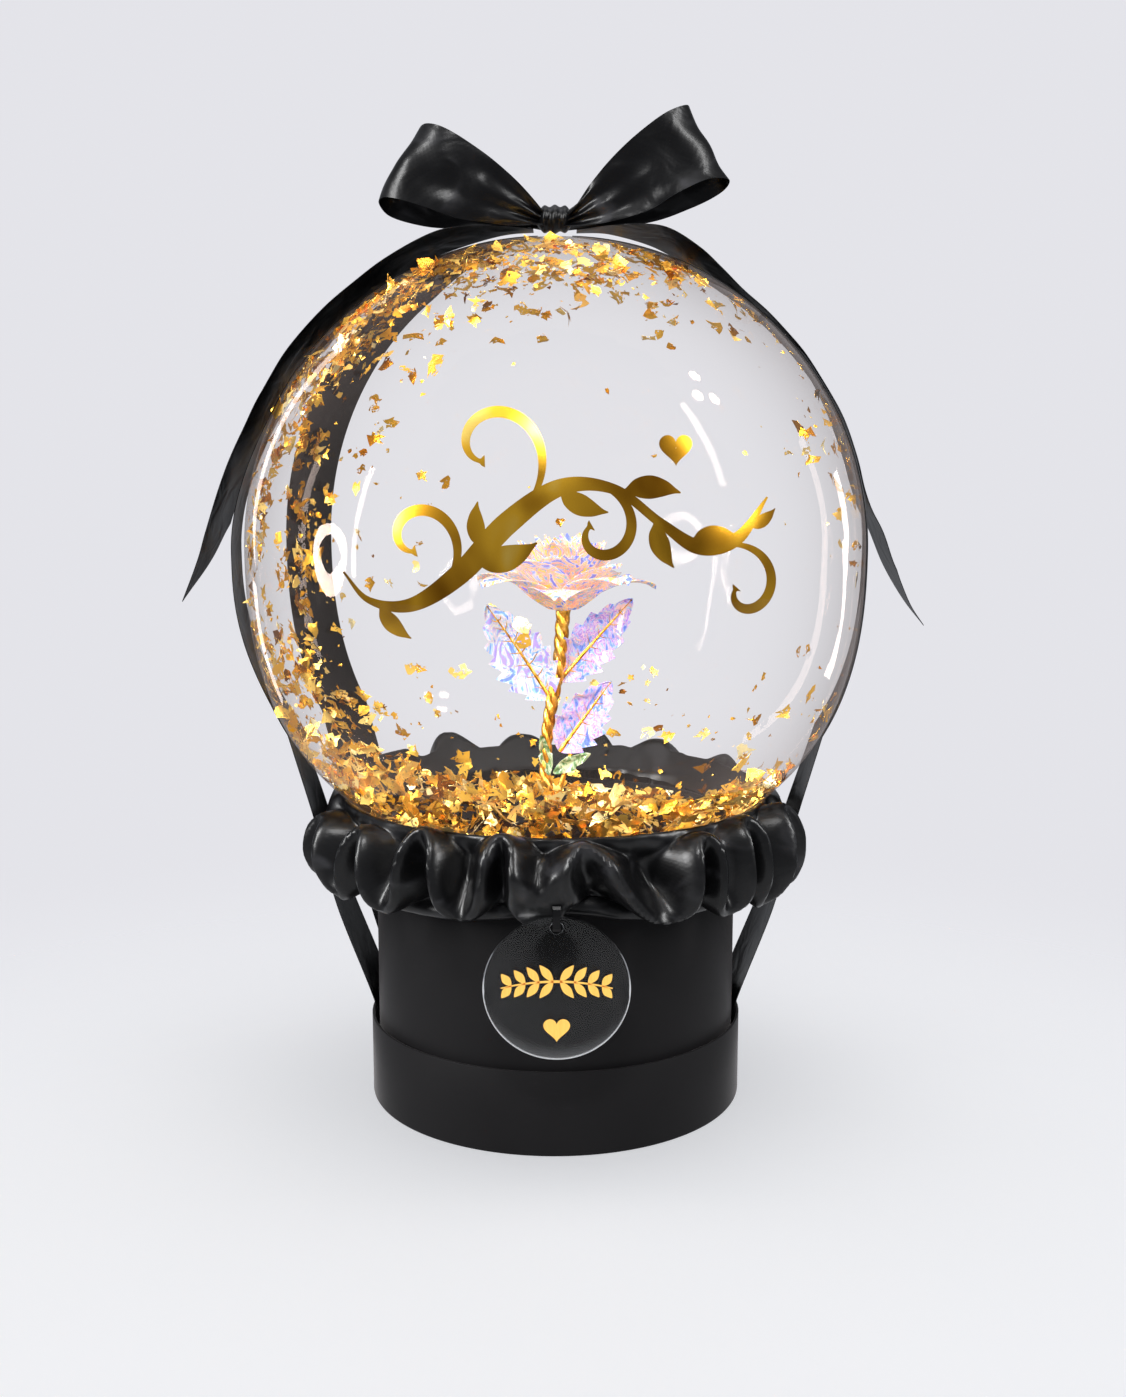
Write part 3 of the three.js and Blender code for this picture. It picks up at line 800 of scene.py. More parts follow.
def makeBow(satin):
    for name, edges in bow.items():
        places = np.linspace(0, 1, 130)
        upper, lower = throughStops(edges['upper'], places), throughStops(edges['lower'], places)
        across = np.linspace(0, 1, 31)[None, :, None]
        grid = upper[:, None] * (1 - across) + lower[:, None] * across
        normal = unit(np.cross(np.gradient(grid, axis=0), np.gradient(grid, axis=1)))
        # creases fan out from the knot and die away towards the fold
        c = bowCreases
        near = np.exp(-np.minimum(places, 1 - places) / c['fade'])[:, None]
        fan = np.sin(across[..., 0] * c['folds'] + edges['fanPhase']) * near * c['depth']
        swell = np.sin(np.pi * across[..., 0]) * np.sin(np.pi * places)[:, None] * c['swell']
        grid = wobble(grid + normal * (fan + swell)[..., None], c['wobbleSize'], c['wobble'], edges['seed'])
        points, faces, uv = sheetShell(grid, ribbon['thickness'])
        piece = makePiece(name, points, faces, satin, 'ribbon_satin', ['bow'], uv)
        length = lengthAlong((upper + lower) / 2)[-1]
        print(f'{name} takes {length:.0f} mm of ribbon')


# The knot is a band wrapped round the loops, so its pleats run up and over.
def makeBowKnot(satin):
    k = bowKnot
    turn = np.linspace(0, 2 * np.pi, k['around'], endpoint=False)[:, None]
    side = np.linspace(-1, 1, k['along'])[None]
    hx, hy, hz = k['half']
    shrink = np.sqrt(np.clip(1 - side ** 4, 0, 1))
    pleat = 1 + k['depth'] * np.cos(np.pi * k['pleats'] * side + 0.5 * np.sin(turn * 2))
    radius = shrink * pleat / (1 + k['depth'])
    grid = np.stack([side * hx + 0 * turn, radius * hy * np.cos(turn), radius * hz * np.sin(turn)], axis=2)
    grid = grid + np.array(k['centre'])
    inner = grid[:, 1:-1]
    count = inner.shape[1]
    points = np.vstack([inner.reshape(-1, 3), grid[0, 0], grid[0, -1]])
    first, last = len(points) - 2, len(points) - 1
    faces = quadsBetween(k['around'], count, ringsJoin=True, ringsOpen=True)
    for t in range(k['around']):
        u = (t + 1) % k['around']
        faces += [(first, t * count, u * count), (last, u * count + count - 1, t * count + count - 1)]
    makePiece('bow_knot', points, faces, satin, 'ribbon_satin')


# The ruffle is a strip of satin gathered along both edges and glued round the outside of the box.
# It turns from its upper edge, round the outside, to its lower edge: 'wrap' degrees each way from the middle.
ruffle = {
    'radius': 103, 'inner': 88.6, 'middle': 127.5, 'rise': 24, 'drop': 18, 'reach': 10, 'thickness': 0.5,
    'around': 620, 'down': 75, 'wrap': 158, 'arc': 0.4, 'slackness': 1.09, 'frontRaise': 6, 'backRise': 11,
    'sideSwell': 0.2, 'evening': (3, 3), 'smoothing': (2, 3),
}
# One rolled fold winds up and down all the way round it; the satin sinks into pockets on both sides.
fold = {'count': 18, 'level': -1, 'swing': 21, 'bulge': 2.2, 'height': 11, 'steep': 4.2, 'gentle': 5.6,
        'lean': 1.8, 'soft': 3.0, 'dip': 17, 'dipWidth': 9, 'dipFrom': (104, 50), 'near': 45,
        'driftAround': 0.19, 'driftDown': 5.5, 'driftSwing': 0.26}
# The front is drawn in to one stitch, and short folds fan out from it.
gather = {'azimuth': 270.6, 'turn': -6, 'clear': (3, 18), 'rays': (32, 70, 112, 147, 208, 331),
          'rayHeight': 9, 'rayWidth': 3.4, 'rayLength': 22, 'spread': 17}
pleats = {'count': 57, 'height': 1.5, 'fade': 22}
crumples = {'size': 10, 'depth': 1.3, 'streaks': 17, 'streakLength': 26, 'streakDepth': 0.7}
# The straps hold the ruffle flat, and the tag leans on it.
strapHold = (11, 16)
tagRoom = {'radius': 110.2, 'top': 119, 'half': 13, 'upSlope': 0.9, 'sideSlope': 1.6}


# Degrees between two directions, the short way round.
def apart(azimuth, other):
    return np.abs((azimuth - other + 540) % 360 - 180)


def ruffleFreedom(azimuth):
    free = np.ones_like(azimuth)
    for settings in straps.values():
        crossing = (settings['middle'] + 2 * settings['foot']) / 3
        free = np.minimum(free, smoothStep(*strapHold, apart(azimuth, crossing)))
    return free


# The line of the winding fold, in millimetres round and down the strip, with its normal.
def foldLine():
    radius = ruffle['radius'] * ruffle['slackness']
    turn = np.linspace(0, fold['count'], fold['count'] * 100, endpoint=False)
    along = turn * 2 * np.pi / fold['count']
    drift = [sum(rng.uniform(-1, 1) * np.sin(k * along + rng.uniform(0, 6.3)) for k in range(2, 10)) / 2.4
             for part in range(4)]
    phase = 2 * np.pi * (turn + fold['driftAround'] * drift[0])
    around = along * radius + fold['bulge'] * (1 + 0.8 * drift[1]) * np.sin(2 * phase)
    swing = fold['swing'] * (1 + fold['driftSwing'] * drift[3])
    down = fold['level'] + fold['driftDown'] * drift[2] - swing * np.cos(phase)
    line = np.stack([around, down], axis=1)
    span = 2 * np.pi * radius
    heading = np.roll(line, -1, 0) - np.roll(line, 1, 0)
    heading[:, 0] = (heading[:, 0] + span / 2) % span - span / 2
    heading = unit(heading)
    return line, np.stack([-heading[:, 1], heading[:, 0]], axis=1), span


# How far each place is raised by the fold, sunk beside it and pushed sideways, from 0 to 1.
def foldRelief(around, down):
    line, normal, span = foldLine()
    height = np.zeros(around.shape)
    dip = np.zeros(around.shape)
    shift = np.zeros(around.shape + (2,))
    for row in range(len(around)):
        # only the stretch of line close by matters
        near = np.abs((line[:, 0] - around[row, 0] + span / 2) % span - span / 2) < fold['near']
        gap = np.stack([around[row], down[row]], axis=1)[:, None] - line[None, near]
        gap[..., 0] = (gap[..., 0] + span / 2) % span - span / 2
        far = (gap ** 2).sum(axis=2)
        least = far.min(axis=1)
        weight = np.exp(-(far - least[:, None]) / fold['soft'] ** 2)
        weight /= weight.sum(axis=1, keepdims=True)
        side = (weight[..., None] * normal[near]).sum(axis=1)
        signed = (weight * (gap * normal[near]).sum(axis=2)).sum(axis=1)
        width = fold['gentle'] + (fold['steep'] - fold['gentle']) * smoothStep(-3, 3, signed)
        height[row] = np.exp(-least / width ** 2)
        dip[row] = 1 - np.exp(-least / fold['dipWidth'] ** 2)
        shift[row] = side * height[row][:, None]
    return height, dip, shift


# Short folds that fan out from the stitch, and how far each place is free of it.
def gatherFan(around, down):
    stitchAround, stitchDown = gather['azimuth'] * ruffleArc(), -gather['turn'] * ruffle['arc']
    fromStitch = np.stack([around - stitchAround, down - stitchDown], axis=2)
    away = np.linalg.norm(fromStitch, axis=2)
    bearing = np.degrees(np.arctan2(-fromStitch[..., 1], fromStitch[..., 0]))
    fan = np.zeros_like(away)
    for ray in gather['rays']:
        fan = np.maximum(fan, hump(away * np.radians(apart(bearing, ray)), 0, gather['rayWidth']))
    fan = fan * np.exp(-away / gather['rayLength']) * smoothStep(0, 9, away) * gather['rayHeight']
    return fan, smoothStep(*gather['clear'], away)


# Millimetres of satin in a degree round the ruffle.
def ruffleArc():
    return np.radians(1) * ruffle['radius'] * ruffle['slackness']


def evened(field, around, down):
    for step in range(around):
        field = (np.roll(field, 1, 0) + 2 * field + np.roll(field, -1, 0)) / 4
    for step in range(down):
        field[:, 1:-1] = (field[:, :-2] + 2 * field[:, 1:-1] + field[:, 2:]) / 4
    return field


def makeRuffle(satin):
    r = ruffle
    azimuth = np.linspace(0, 360, r['around'], endpoint=False)[:, None]
    even = np.linspace(0, 1, r['down'])[None]
    turn = r['wrap'] - 2 * r['wrap'] * (even + 0.045 * np.sin(4 * np.pi * even))
    around, down = azimuth * ruffleArc() + 0 * turn, -turn * r['arc'] + 0 * azimuth
    height, dip, shift = (evened(field, *r['evening']) for field in foldRelief(around, down))
    free = ruffleFreedom(azimuth)
    fan, clear = gatherFan(around, down)
    fuller = 1 + r['sideSwell'] * np.cos(np.radians(azimuth)) ** 8
    sunk = fold['dip'] * dip * smoothStep(*fold['dipFrom'], np.abs(turn))
    lift = (fold['height'] * fuller * height - sunk) * free * clear + fan
    # small pleats where the strip is stitched down
    edge = np.exp(-(r['wrap'] - np.abs(turn)) / pleats['fade'])
    wander = noiseOver(np.cos(np.radians(azimuth)) * 5, np.sin(np.radians(azimuth)) * 5, turn / 60)
    rows = np.cos(np.radians(azimuth) * pleats['count'] + 6 * wander)
    lift = lift + pleats['height'] * edge * rows * (0.3 + 0.7 * free)
    slope = np.radians(turn)
    face = np.clip(np.cos(slope) * 3 + 0.6, 0, 1)
    lean = shift * (fold['lean'] * free * clear * face)[..., None]
    angle = np.radians(azimuth) + lean[..., 0] / r['radius']
    slope = slope - np.radians(lean[..., 1] / r['arc'])
    outward = np.where(np.cos(slope) > 0, r['reach'] + lift, r['radius'] - r['inner'])
    radius = r['radius'] + outward * np.cos(slope)
    # the back stands a little higher
    rise = r['rise'] + r['backRise'] * smoothStep(0.2, 0.9, np.sin(np.radians(azimuth - 20)))
    drop = r['drop'] - r['frontRaise'] * hump(azimuth, gather['azimuth'], gather['spread'])
    half = np.where(np.sin(slope) > 0, rise, drop) + 0.5 * lift
    height = r['middle'] + half * np.sin(slope)
    c = crumples
    x, y = np.cos(angle), np.sin(angle)
    uneven = noiseOver(radius * x / c['size'], radius * y / c['size'], height / c['size'])
    radius = radius + c['depth'] * uneven * free
    streaks = noiseOver(x * c['streaks'], y * c['streaks'], height / c['streakLength'])
    radius = radius + c['streakDepth'] * (1 - 2 * np.abs(streaks)) * free * np.clip(np.cos(slope) * 2, 0, 1)
    above = np.clip(height - tagRoom['top'], 0, None)
    beside = np.clip(np.abs(azimuth - gather['azimuth']) - tagRoom['half'], 0, None)
    radius = np.minimum(radius, tagRoom['radius'] + tagRoom['upSlope'] * above + tagRoom['sideSlope'] * beside)
    radius = np.maximum(radius, r['inner'])
    height = np.minimum(height, undersideHeight(radius) - 0.6)
    grid = np.stack([radius * np.cos(angle), radius * np.sin(angle), height], axis=2)
    grid = evened(grid, *r['smoothing'])
    points, faces, uv = sheetShell(grid, r['thickness'], joined=True)
    piece = makePiece('ruffleCloth', points, faces, satin, 'ruffle_satin', ['ruffle'], uv)
    middle = np.vstack([grid, grid[:1]])[:, r['down'] // 2]
    width = float(np.linalg.norm(np.diff(grid, axis=1), axis=2).sum(axis=1).mean())
    print(f'ruffle strip measures {width:.0f} by {lengthAlong(middle)[-1]:.0f} mm')


ribbonSatin = satinFinish('ribbonSatin', 0.25, 0.5, 0.16)
makeStraps(ribbonSatin)
makeTails(ribbonSatin)
makeBow(ribbonSatin)
makeBowKnot(ribbonSatin)
makeRuffle(satinFinish('ruffleSatin', 0.27, 0.22, 0.3))
print('ribbons and ruffle are tied')

# Torn foil: each flake is a ragged star with curled tips.
foil = {'thickness': 0.08, 'corners': 10, 'waist': 0.5, 'tip': (0.5, 1.0), 'notch': (0.28, 0.8)}


def flakeShells(centres, normals, sizes, curl):
    count, corners = len(centres), foil['corners']
    turn = (np.linspace(0, 2 * np.pi, corners, endpoint=False)[None]
            + rng.uniform(-0.3, 0.3, (count, corners)))
    # every second corner is a notch
    ragged = np.where(np.arange(corners) % 2 == 0, rng.uniform(*foil['tip'], (count, corners)),
                      rng.uniform(*foil['notch'], (count, corners))) * sizes[:, None]
    stretch = rng.uniform(0.5, 1.0, (count, 1))
    bend = rng.uniform(-1, 1, (count, 1)) * curl / np.maximum(sizes[:, None], 1e-6)
    twist = rng.uniform(-1, 1, (count, 1)) * curl / np.maximum(sizes[:, None], 1e-6)
    side = unit(np.cross(normals, unit(rng.normal(size=(count, 3)))))
    other = np.cross(normals, side)
    rings = []
    for share in (foil['waist'], 1.0):
        x, y = ragged * np.cos(turn) * share, ragged * np.sin(turn) * stretch * share
        lift = bend * (x * x - 0.5 * y * y) + twist * x * y
        rings.append(centres[:, None] + x[..., None] * side[:, None] + y[..., None] * other[:, None]
                     + lift[..., None] * normals[:, None])
    half = normals[:, None] * foil['thickness'] / 2
    layer = np.concatenate([rings[1], rings[0], centres[:, None]], axis=1)
    points = np.concatenate([layer + half, layer - half], axis=1)
    under = 2 * corners + 1
    faces = []
    for c in range(corners):
        d = (c + 1) % corners
        faces += [(c, d, corners + d, corners + c), (corners + c, corners + d, under - 1)]
        faces += [(under + d, under + c, under + corners + c, under + corners + d),
                  (under + corners + d, under + corners + c, 2 * under - 1), (d, c, under + c, under + d)]
    every = [tuple(index + flake * 2 * under for index in face) for flake in range(count) for face in faces]
    return points.reshape(-1, 3), every, 2 * under


def onFilm(angle, azimuth, depth):
    radius, height = bubblePoint(angle)
    place = np.stack([radius * np.cos(azimuth), radius * np.sin(azimuth), height], axis=1)
    normal = unit(place - np.array([0, 0, bubble['centre']]))
    return place - normal * depth[:, None], normal


# Flakes that cling to the inside of the film, thickest at the crown and down the left. Each place where they
# gather is a middle and a spread in degrees, round the balloon or down from the crown.
clinging = {
    'tries': 36000, 'count': 2450, 'size': (0.9, 7.6), 'depth': (0.9, 3.2), 'thinnest': 0.006,
    'left': (186, 38), 'behind': (160, 14), 'right': (-6, 24), 'crown': (21, 13),
    'shoulder': ((214, 26), (40, 13)), 'band': ((20, 50), (150, 118)), 'low': (104, 128),
    'clumps': 7, 'tilt': 0.28,
}


def clingingShare(angle, azimuth):
    c = clinging
    around = np.degrees(azimuth)
    left = hump(around, *c['left'])
    behind = hump(around, *c['behind'])
    right = hump((around + 180) % 360 - 180, *c['right'])
    crown = hump(angle, *c['crown'])
    band = smoothStep(*c['band'][0], angle) * smoothStep(*c['band'][1], angle)
    low = smoothStep(*c['low'], angle) * (0.25 + 0.75 * left)
    shoulder = hump(around, *c['shoulder'][0]) * hump(angle, *c['shoulder'][1])
    sides = 0.45 * left + 1.1 * behind + 0.13 * right
    return c['thinnest'] + 1.2 * crown + 1.2 * shoulder + sides * band + 0.36 * low


def makeClingingFoil(gold):
    c = clinging
    azimuth = rng.uniform(0, 2 * np.pi, c['tries'])
    angle = np.degrees(np.arccos(rng.uniform(-1, 1, c['tries'])))
    across = np.sin(np.radians(angle)) * c['clumps']
    upwards = np.cos(np.radians(angle)) * c['clumps']
    clumps = 0.5 + noiseOver(across * np.cos(azimuth), across * np.sin(azimuth), upwards)
    share = clingingShare(angle, azimuth) * np.clip(clumps, 0, 1) ** 1.5 * 0.62
    keep = rng.uniform(0, 1, c['tries']) < share
    angle, azimuth = angle[keep][:c['count']], azimuth[keep][:c['count']]
    centres, normals = onFilm(angle, azimuth, rng.uniform(*c['depth'], len(angle)))
    tilted = unit(normals + rng.normal(0, c['tilt'], normals.shape))
    low, high = c['size']
    sizes = low + (high - low) * rng.uniform(0, 1, len(angle)) ** 1.9
    points, faces, size = flakeShells(centres, tilted, sizes, 0.5)
    tint = np.repeat(np.clip(rng.normal(0.45, 0.22, len(angle)), 0, 1), size)
    print(f'{len(angle)} flakes cling to the film')
    return makePiece('clingingFoil', points, faces, gold, tint=tint, sharp=30)


# The rest of the foil has slid down to the front of the bottom, higher on the left. The tops give the height of
# the heap by place from left to right.
pile = {'tops': [(-125, 184), (-110, 172), (-56, 158), (2, 149), (71, 145), (105, 157), (125, 170)],
        'fallBack': 0.2, 'deepest': 25, 'reach': 122, 'offFilm': 2.2, 'leastGap': 0.5, 'count': 820,
        'size': (3.4, 10.4), 'low': 0.7, 'tumble': 0.75, 'hollow': 190}


def makeFoilPile(gold):
    count = pile['count']
    tops = np.array(pile['tops'], float)
    x, y = rng.uniform(tops[0, 0], tops[-1, 0], (2, count * 5))
    radius = np.hypot(x, y)
    floor = undersideHeight(radius) + pile['offFilm']
    top = np.interp(x, tops[:, 0], tops[:, 1]) + 3 * np.sin(x / 17 + y / 23) - pile['fallBack'] * y
    top = np.minimum(top, floor + pile['deepest'])
    keep = (top > floor) & (radius < pile['reach'])
    x, y, floor, top = (v[keep][:count] for v in (x, y, floor, top))
    # most lie on the film, and the rest towards the top of the heap
    level = rng.uniform(0, 1, len(x))
    level = np.where(rng.uniform(0, 1, len(x)) < pile['low'], level ** 4, 1 - (1 - level) ** 3)
    height = floor + (top - floor) * level
    centres = np.stack([x, y, height], axis=1)
    lean = rng.normal(0, pile['tumble'], centres.shape)
    inward = np.stack([-x / pile['hollow'], -y / pile['hollow'], np.ones_like(x)], axis=1)
    low, high = pile['size']
    sizes = low + (high - low) * rng.uniform(0, 1, len(x)) ** 1.5
    points, faces, size = flakeShells(centres, unit(inward + lean), sizes, 0.6)
    # nothing pokes through the film
    reach = np.hypot(points[:, 0], points[:, 1])
    points[:, 2] = np.maximum(points[:, 2], undersideHeight(reach) + pile['leastGap'])
    tint = np.repeat(np.clip(rng.normal(0.5, 0.26, len(centres)), 0, 1), size)
    print(f'{len(centres)} flakes lie in the pile')
    return makePiece('foilPile', points, faces, gold, tint=tint, sharp=30)


gold = foilFinish()
foilPieces = [makeClingingFoil(gold), makeFoilPile(gold)]

# The foil rose: a wide open bloom on a twisted gold stem with leaves. Its petals stand in rings, the inner
# ones first.
rose = {
    'centre': (4, 0, 241), 'rings': [
        {'petals': 4, 'long': 25, 'wide': 17, 'open': 8, 'curl': 0.3, 'rise': 6},
        {'petals': 5, 'long': 29, 'wide': 22, 'open': 20, 'curl': 0.5, 'rise': 4},
        {'petals': 6, 'long': 34, 'wide': 27, 'open': 30, 'curl': 0.8, 'rise': 3},
        {'petals': 7, 'long': 39, 'wide': 30, 'open': 41, 'curl': 1.0, 'rise': 1},
        {'petals': 7, 'long': 44, 'wide': 32, 'open': 54, 'curl': 1.5, 'rise': -3}],
    'petalThickness': 0.25,
}
pastel = [(0.0, (0.16, 0.22, 0.8)), (0.12, (0.4, 0.56, 0.9)), (0.22, (0.9, 0.8, 0.62)),
          (0.32, (0.95, 0.5, 0.12)), (0.38, (0.92, 0.76, 0.55)), (0.46, (0.9, 0.34, 0.12)),
          (0.52, (0.94, 0.76, 0.56)), (0.59, (0.9, 0.24, 0.26)), (0.65, (0.92, 0.7, 0.54)),
          (0.73, (0.42, 0.28, 0.85)), (0.81, (0.12, 0.58, 0.66)), (0.92, (0.95, 0.64, 0.14))]
violet = [(0.0, (0.14, 0.2, 0.8)), (0.2, (0.3, 0.5, 0.95)), (0.33, (0.76, 0.6, 0.92)),
          (0.45, (0.36, 0.18, 0.78)), (0.55, (0.78, 0.46, 0.86)), (0.64, (0.95, 0.74, 0.8)),
          (0.72, (0.44, 0.24, 0.84)), (0.82, (0.4, 0.72, 0.92)), (0.92, (0.95, 0.6, 0.62))]
frost = [(0.0, (0.2, 0.24, 0.86)), (0.18, (0.26, 0.56, 0.95)), (0.32, (0.74, 0.82, 0.92)),
         (0.44, (0.92, 0.84, 0.7)), (0.54, (0.54, 0.48, 0.92)), (0.64, (0.94, 0.7, 0.66)),
         (0.76, (0.32, 0.7, 0.86)), (0.88, (0.46, 0.34, 0.88))]
moss = [(0.0, (0.1, 0.22, 0.08)), (0.4, (0.24, 0.42, 0.18)), (0.6, (0.5, 0.62, 0.4)), (1.0, (0.7, 0.76, 0.5))]


# A petal from its root to its tip and from side to side, leaning out and curling back.
def petalGrid(long, wide, opened, curl, turn, rise):
    s = np.linspace(0, 1, 15)[:, None]
    c = np.linspace(-1, 1, 15)[None]
    lean = math.radians(opened)
    bend = lean + curl * (s - 0.25) * np.abs(s)
    step = long / 14
    out = np.cumsum(np.sin(bend) * step, axis=0) - math.sin(lean) * step
    up = np.cumsum(np.cos(bend) * step, axis=0) - math.cos(lean) * step
    half = wide / 2 * np.sin(np.pi * np.clip(s * 0.86 + 0.1, 0, 1)) ** 0.7
    cup = (1 - c * c) * 0.22 * half
    frill = 1.1 * np.sin(c * 5 + turn * 3) * s ** 3
    radial = out + 1.5 + cup * math.cos(lean) * 0.9
    x, y = radial + 0 * c, half * c
    z = up - cup * math.sin(lean) * 0.4 + frill + rise
    cosine, sine = math.cos(turn), math.sin(turn)
    return np.stack([x * cosine - y * sine, x * sine + y * cosine, z], axis=2)


def makeBloom():
    shells = []
    for number, ring in enumerate(rose['rings']):
        for petal in range(ring['petals']):
            turn = 2 * np.pi * petal / ring['petals'] + number * 0.7 + rng.uniform(-0.12, 0.12)
            long = ring['long'] * rng.uniform(0.9, 1.08)
            opened = ring['open'] + rng.uniform(-5, 5)
            grid = petalGrid(long, ring['wide'], opened, ring['curl'], turn, ring['rise'])
            shells.append(sheetShell(grid + np.array(rose['centre']), rose['petalThickness'])[:2])
    makePiece('roseBloom', *joinShells(shells), irisFinish('petalFilm', pastel, 0.74, 62, 0.34), sharp=60)


# Leaves, piece by piece, by base, tip, width and teeth.
leaves = {
    'leafLeft': [{'base': (-2, 0, 194), 'tip': (-33, -3, 240), 'wide': 33, 'teeth': 7}],
    'leavesRight': [{'base': (2, 0, 203), 'tip': (37, -2, 243), 'wide': 26, 'teeth': 6},
                    {'base': (2, 0, 168), 'tip': (27, -3, 203), 'wide': 26, 'teeth': 6}],
    'leavesGreen': [{'base': (-3, -3, 157), 'tip': (-7, -5, 177), 'wide': 7, 'teeth': 2},
                    {'base': (-1, -3, 158), 'tip': (17, -5, 168), 'wide': 8, 'teeth': 2}],
}
leafShape = {'thickness': 0.3, 'rows': 49, 'columns': 17, 'fold': 0.35, 'arch': 2,
             'veins': ((1.3, 0.5), (0.5, 0.2))}
# Each leaf piece's film: name, colours, share of film to clear, band size and painted glow.
leafFilms = {
    'leafLeft': ('frostFilm', frost, 0.78, 80, 0.16),
    'leavesRight': ('violetFilm', violet, 0.82, 80, 0.16),
    'leavesGreen': ('greenFilm', moss, 0.8),
}
stem = {
    'main': [(4, 0, 240), (3, 0, 225), (1.5, 0, 208), (-1.6, 0, 193), (-4, 0, 176), (-5, 0, 159), (-3, 0, 146),
             (-1, 0, 133)],
    'radius': (2.3, 1.5), 'strand': 1.35, 'strands': 3, 'twists': 5,
    'twig': [(8, 0, 168), (4, -1, 156), (1, -1, 146), (0, 0, 136)], 'twigRadius': (1.2, 1.6),
    # the cup under the bloom, by radius and height above its foot
    'cup': [(0, 0), (2.6, 0), (3.4, 4), (5.5, 8), (8.5, 11.5), (8.0, 11.8), (4.8, 9), (0, 8)],
    'cupFoot': (4, 0, 233),
}


# A leaf's toothed blade, and its veins: one along the middle and a pair to each tooth.
def makeLeaf(leaf):
    shape = leafShape
    base, tip = np.array(leaf['base'], float), np.array(leaf['tip'], float)
    axis = tip - base
    sideways = unit(np.cross(axis, (0.15, 1.0, 0.1)))
    out = unit(np.cross(sideways, axis))
    s = np.linspace(0, 1, shape['rows'])[:, None]
    c = np.linspace(-1, 1, shape['columns'])[None]
    teeth = 1 - 0.3 * ((-s * leaf['teeth']) % 1)
    half = leaf['wide'] / 2 * np.sin(np.pi * np.clip(s, 0, 1) ** 0.8) ** 0.75 * teeth
    wave = 0.6 * np.sin(s * 19 + np.abs(c) * 4) * np.abs(c)
    raised = wave - np.abs(c) * half * shape['fold'] + np.sin(np.pi * s) * shape['arch']
    grid = base + s[..., None] * axis + (half * c)[..., None] * sideways + raised[..., None] * out
    middle, last = shape['columns'] // 2, shape['rows'] - 1
    main, small = shape['veins']
    veins = [barShell(grid[:, middle] + out * 0.2, np.linspace(*main, shape['rows']), 8)]
    for vein in range(1, leaf['teeth'] + 1):
        row = int(last * vein / (leaf['teeth'] + 1.2))
        far = min(row + 7, last - 2)
        for side in (-1, 1):
            line = [grid[int(row + (far - row) * k), int(middle + side * middle * k * 0.92)] + out * 0.2
                    for k in np.linspace(0, 1, 8)]
            veins.append(barShell(line, np.linspace(*small, 8), 6))
    return sheetShell(grid, shape['thickness'])[:2], veins


def makeLeaves():
    gold = []
    for name, group in leaves.items():
        blades = []
        for leaf in group:
            blade, veins = makeLeaf(leaf)
            blades.append(blade)
            # the smallest leaves have no gold on them
            gold += veins if leaf['teeth'] > 2 else []
        makePiece(name, *joinShells(blades), irisFinish(*leafFilms[name]), sharp=60)
    return gold


def makeStem(veins):
    line = evenCurve(stem['main'], 120)
    turn = np.linspace(0, 2 * np.pi * stem['twists'], 120)
    strands = []
    for strand in range(stem['strands']):
        at = turn + strand * 2.1
        around = np.stack([np.cos(at), np.sin(at), 0 * at], axis=1) * stem['strand']
        strands.append(barShell(line + around, np.linspace(*stem['radius'], 120), 10))
    strands.append(barShell(evenCurve(stem['twig'], 30), np.linspace(*stem['twigRadius'], 30), 8))
    points, faces = turnedShell(stem['cup'], 24)
    strands.append((points + np.array(stem['cupFoot']), faces))
    return makePiece('roseStem', *joinShells(strands + veins), stemGoldFinish(), sharp=50)


makeBloom()
foilPieces.append(makeStem(makeLeaves()))
print('rose stands in the foil')

# Flat ornaments of mirror gold laid on the film: a vine with leaves and tendrils, and a heart.
flourish = {
    # stops of x, z and width along the stem
    'stem': [(-86, 266, 0.8), (-75, 255, 2.8), (-57, 254, 5.6), (-37, 267, 8.4), (-18, 287, 9.0), (3, 301, 6.6),
             (24, 300, 4.0), (42, 287, 3.8), (58, 277, 6.0), (74, 280, 5.4), (87, 296, 0.8)],
    # each tendril leaves the stem at a share of its length, to one side, and curls from one radius to another
    'tendrils': [(0.2, 1, 24, 5, 6.0), (0.42, 1, 30, 6, 5.6), (0.56, -1, 21, 4.5, 5.8), (0.86, -1, 22, 4, 5.6)],
    # leaves by share, side, length and how far they turn off the stem in degrees
    'leaves': [(0.1, -1, 19, 52), (0.31, -1, 27, 50), (0.34, 1, 19, 66), (0.52, -1, 22, 66), (0.64, 1, 24, 46),
               (0.72, -1, 21, 50), (0.8, 1, 20, 56), (0.93, -1, 14, 40)],
    # a leaf's width along its length: it swells to the middle and runs out in a point
    'leafShape': ((0, 0.12), (0.1, 0.2), (0.28, 0.8), (0.5, 1.0), (0.72, 0.72), (0.9, 0.26), (1, 0.06)),
    'leafWide': 0.38, 'leafBend': 0.35, 'heart': {'centre': (48.5, 316), 'size': 13.5},
    'thickness': 0.12, 'lift': 0.35,
}


# How far forward the ornament on the film lies at a place seen from in front.
def onFront(x, z):
    share = 1 - (z - bubble['centre']) ** 2 / bubble['halfHeight'] ** 2
    reach = bubble['radius'] * np.sqrt(np.clip(share, 0.05, 1))
    return -np.sqrt(np.maximum(reach ** 2 - x ** 2, 1)) - flourish['lift']


# A stroke through stops of x, z and width.
def strokeGrid(stops, place):
    line = evenCurve(stops, 150)
    heading = unit(np.gradient(line[:, :2], axis=0))
    sideways = np.stack([-heading[:, 1], heading[:, 0]], axis=1)
    across = np.linspace(-0.5, 0.5, 7)[None, :, None]
    flat = line[:, None, :2] + sideways[:, None] * across * line[:, None, 2:3]
    return np.stack([flat[..., 0], place(flat[..., 0], flat[..., 1]), flat[..., 1]], axis=2)


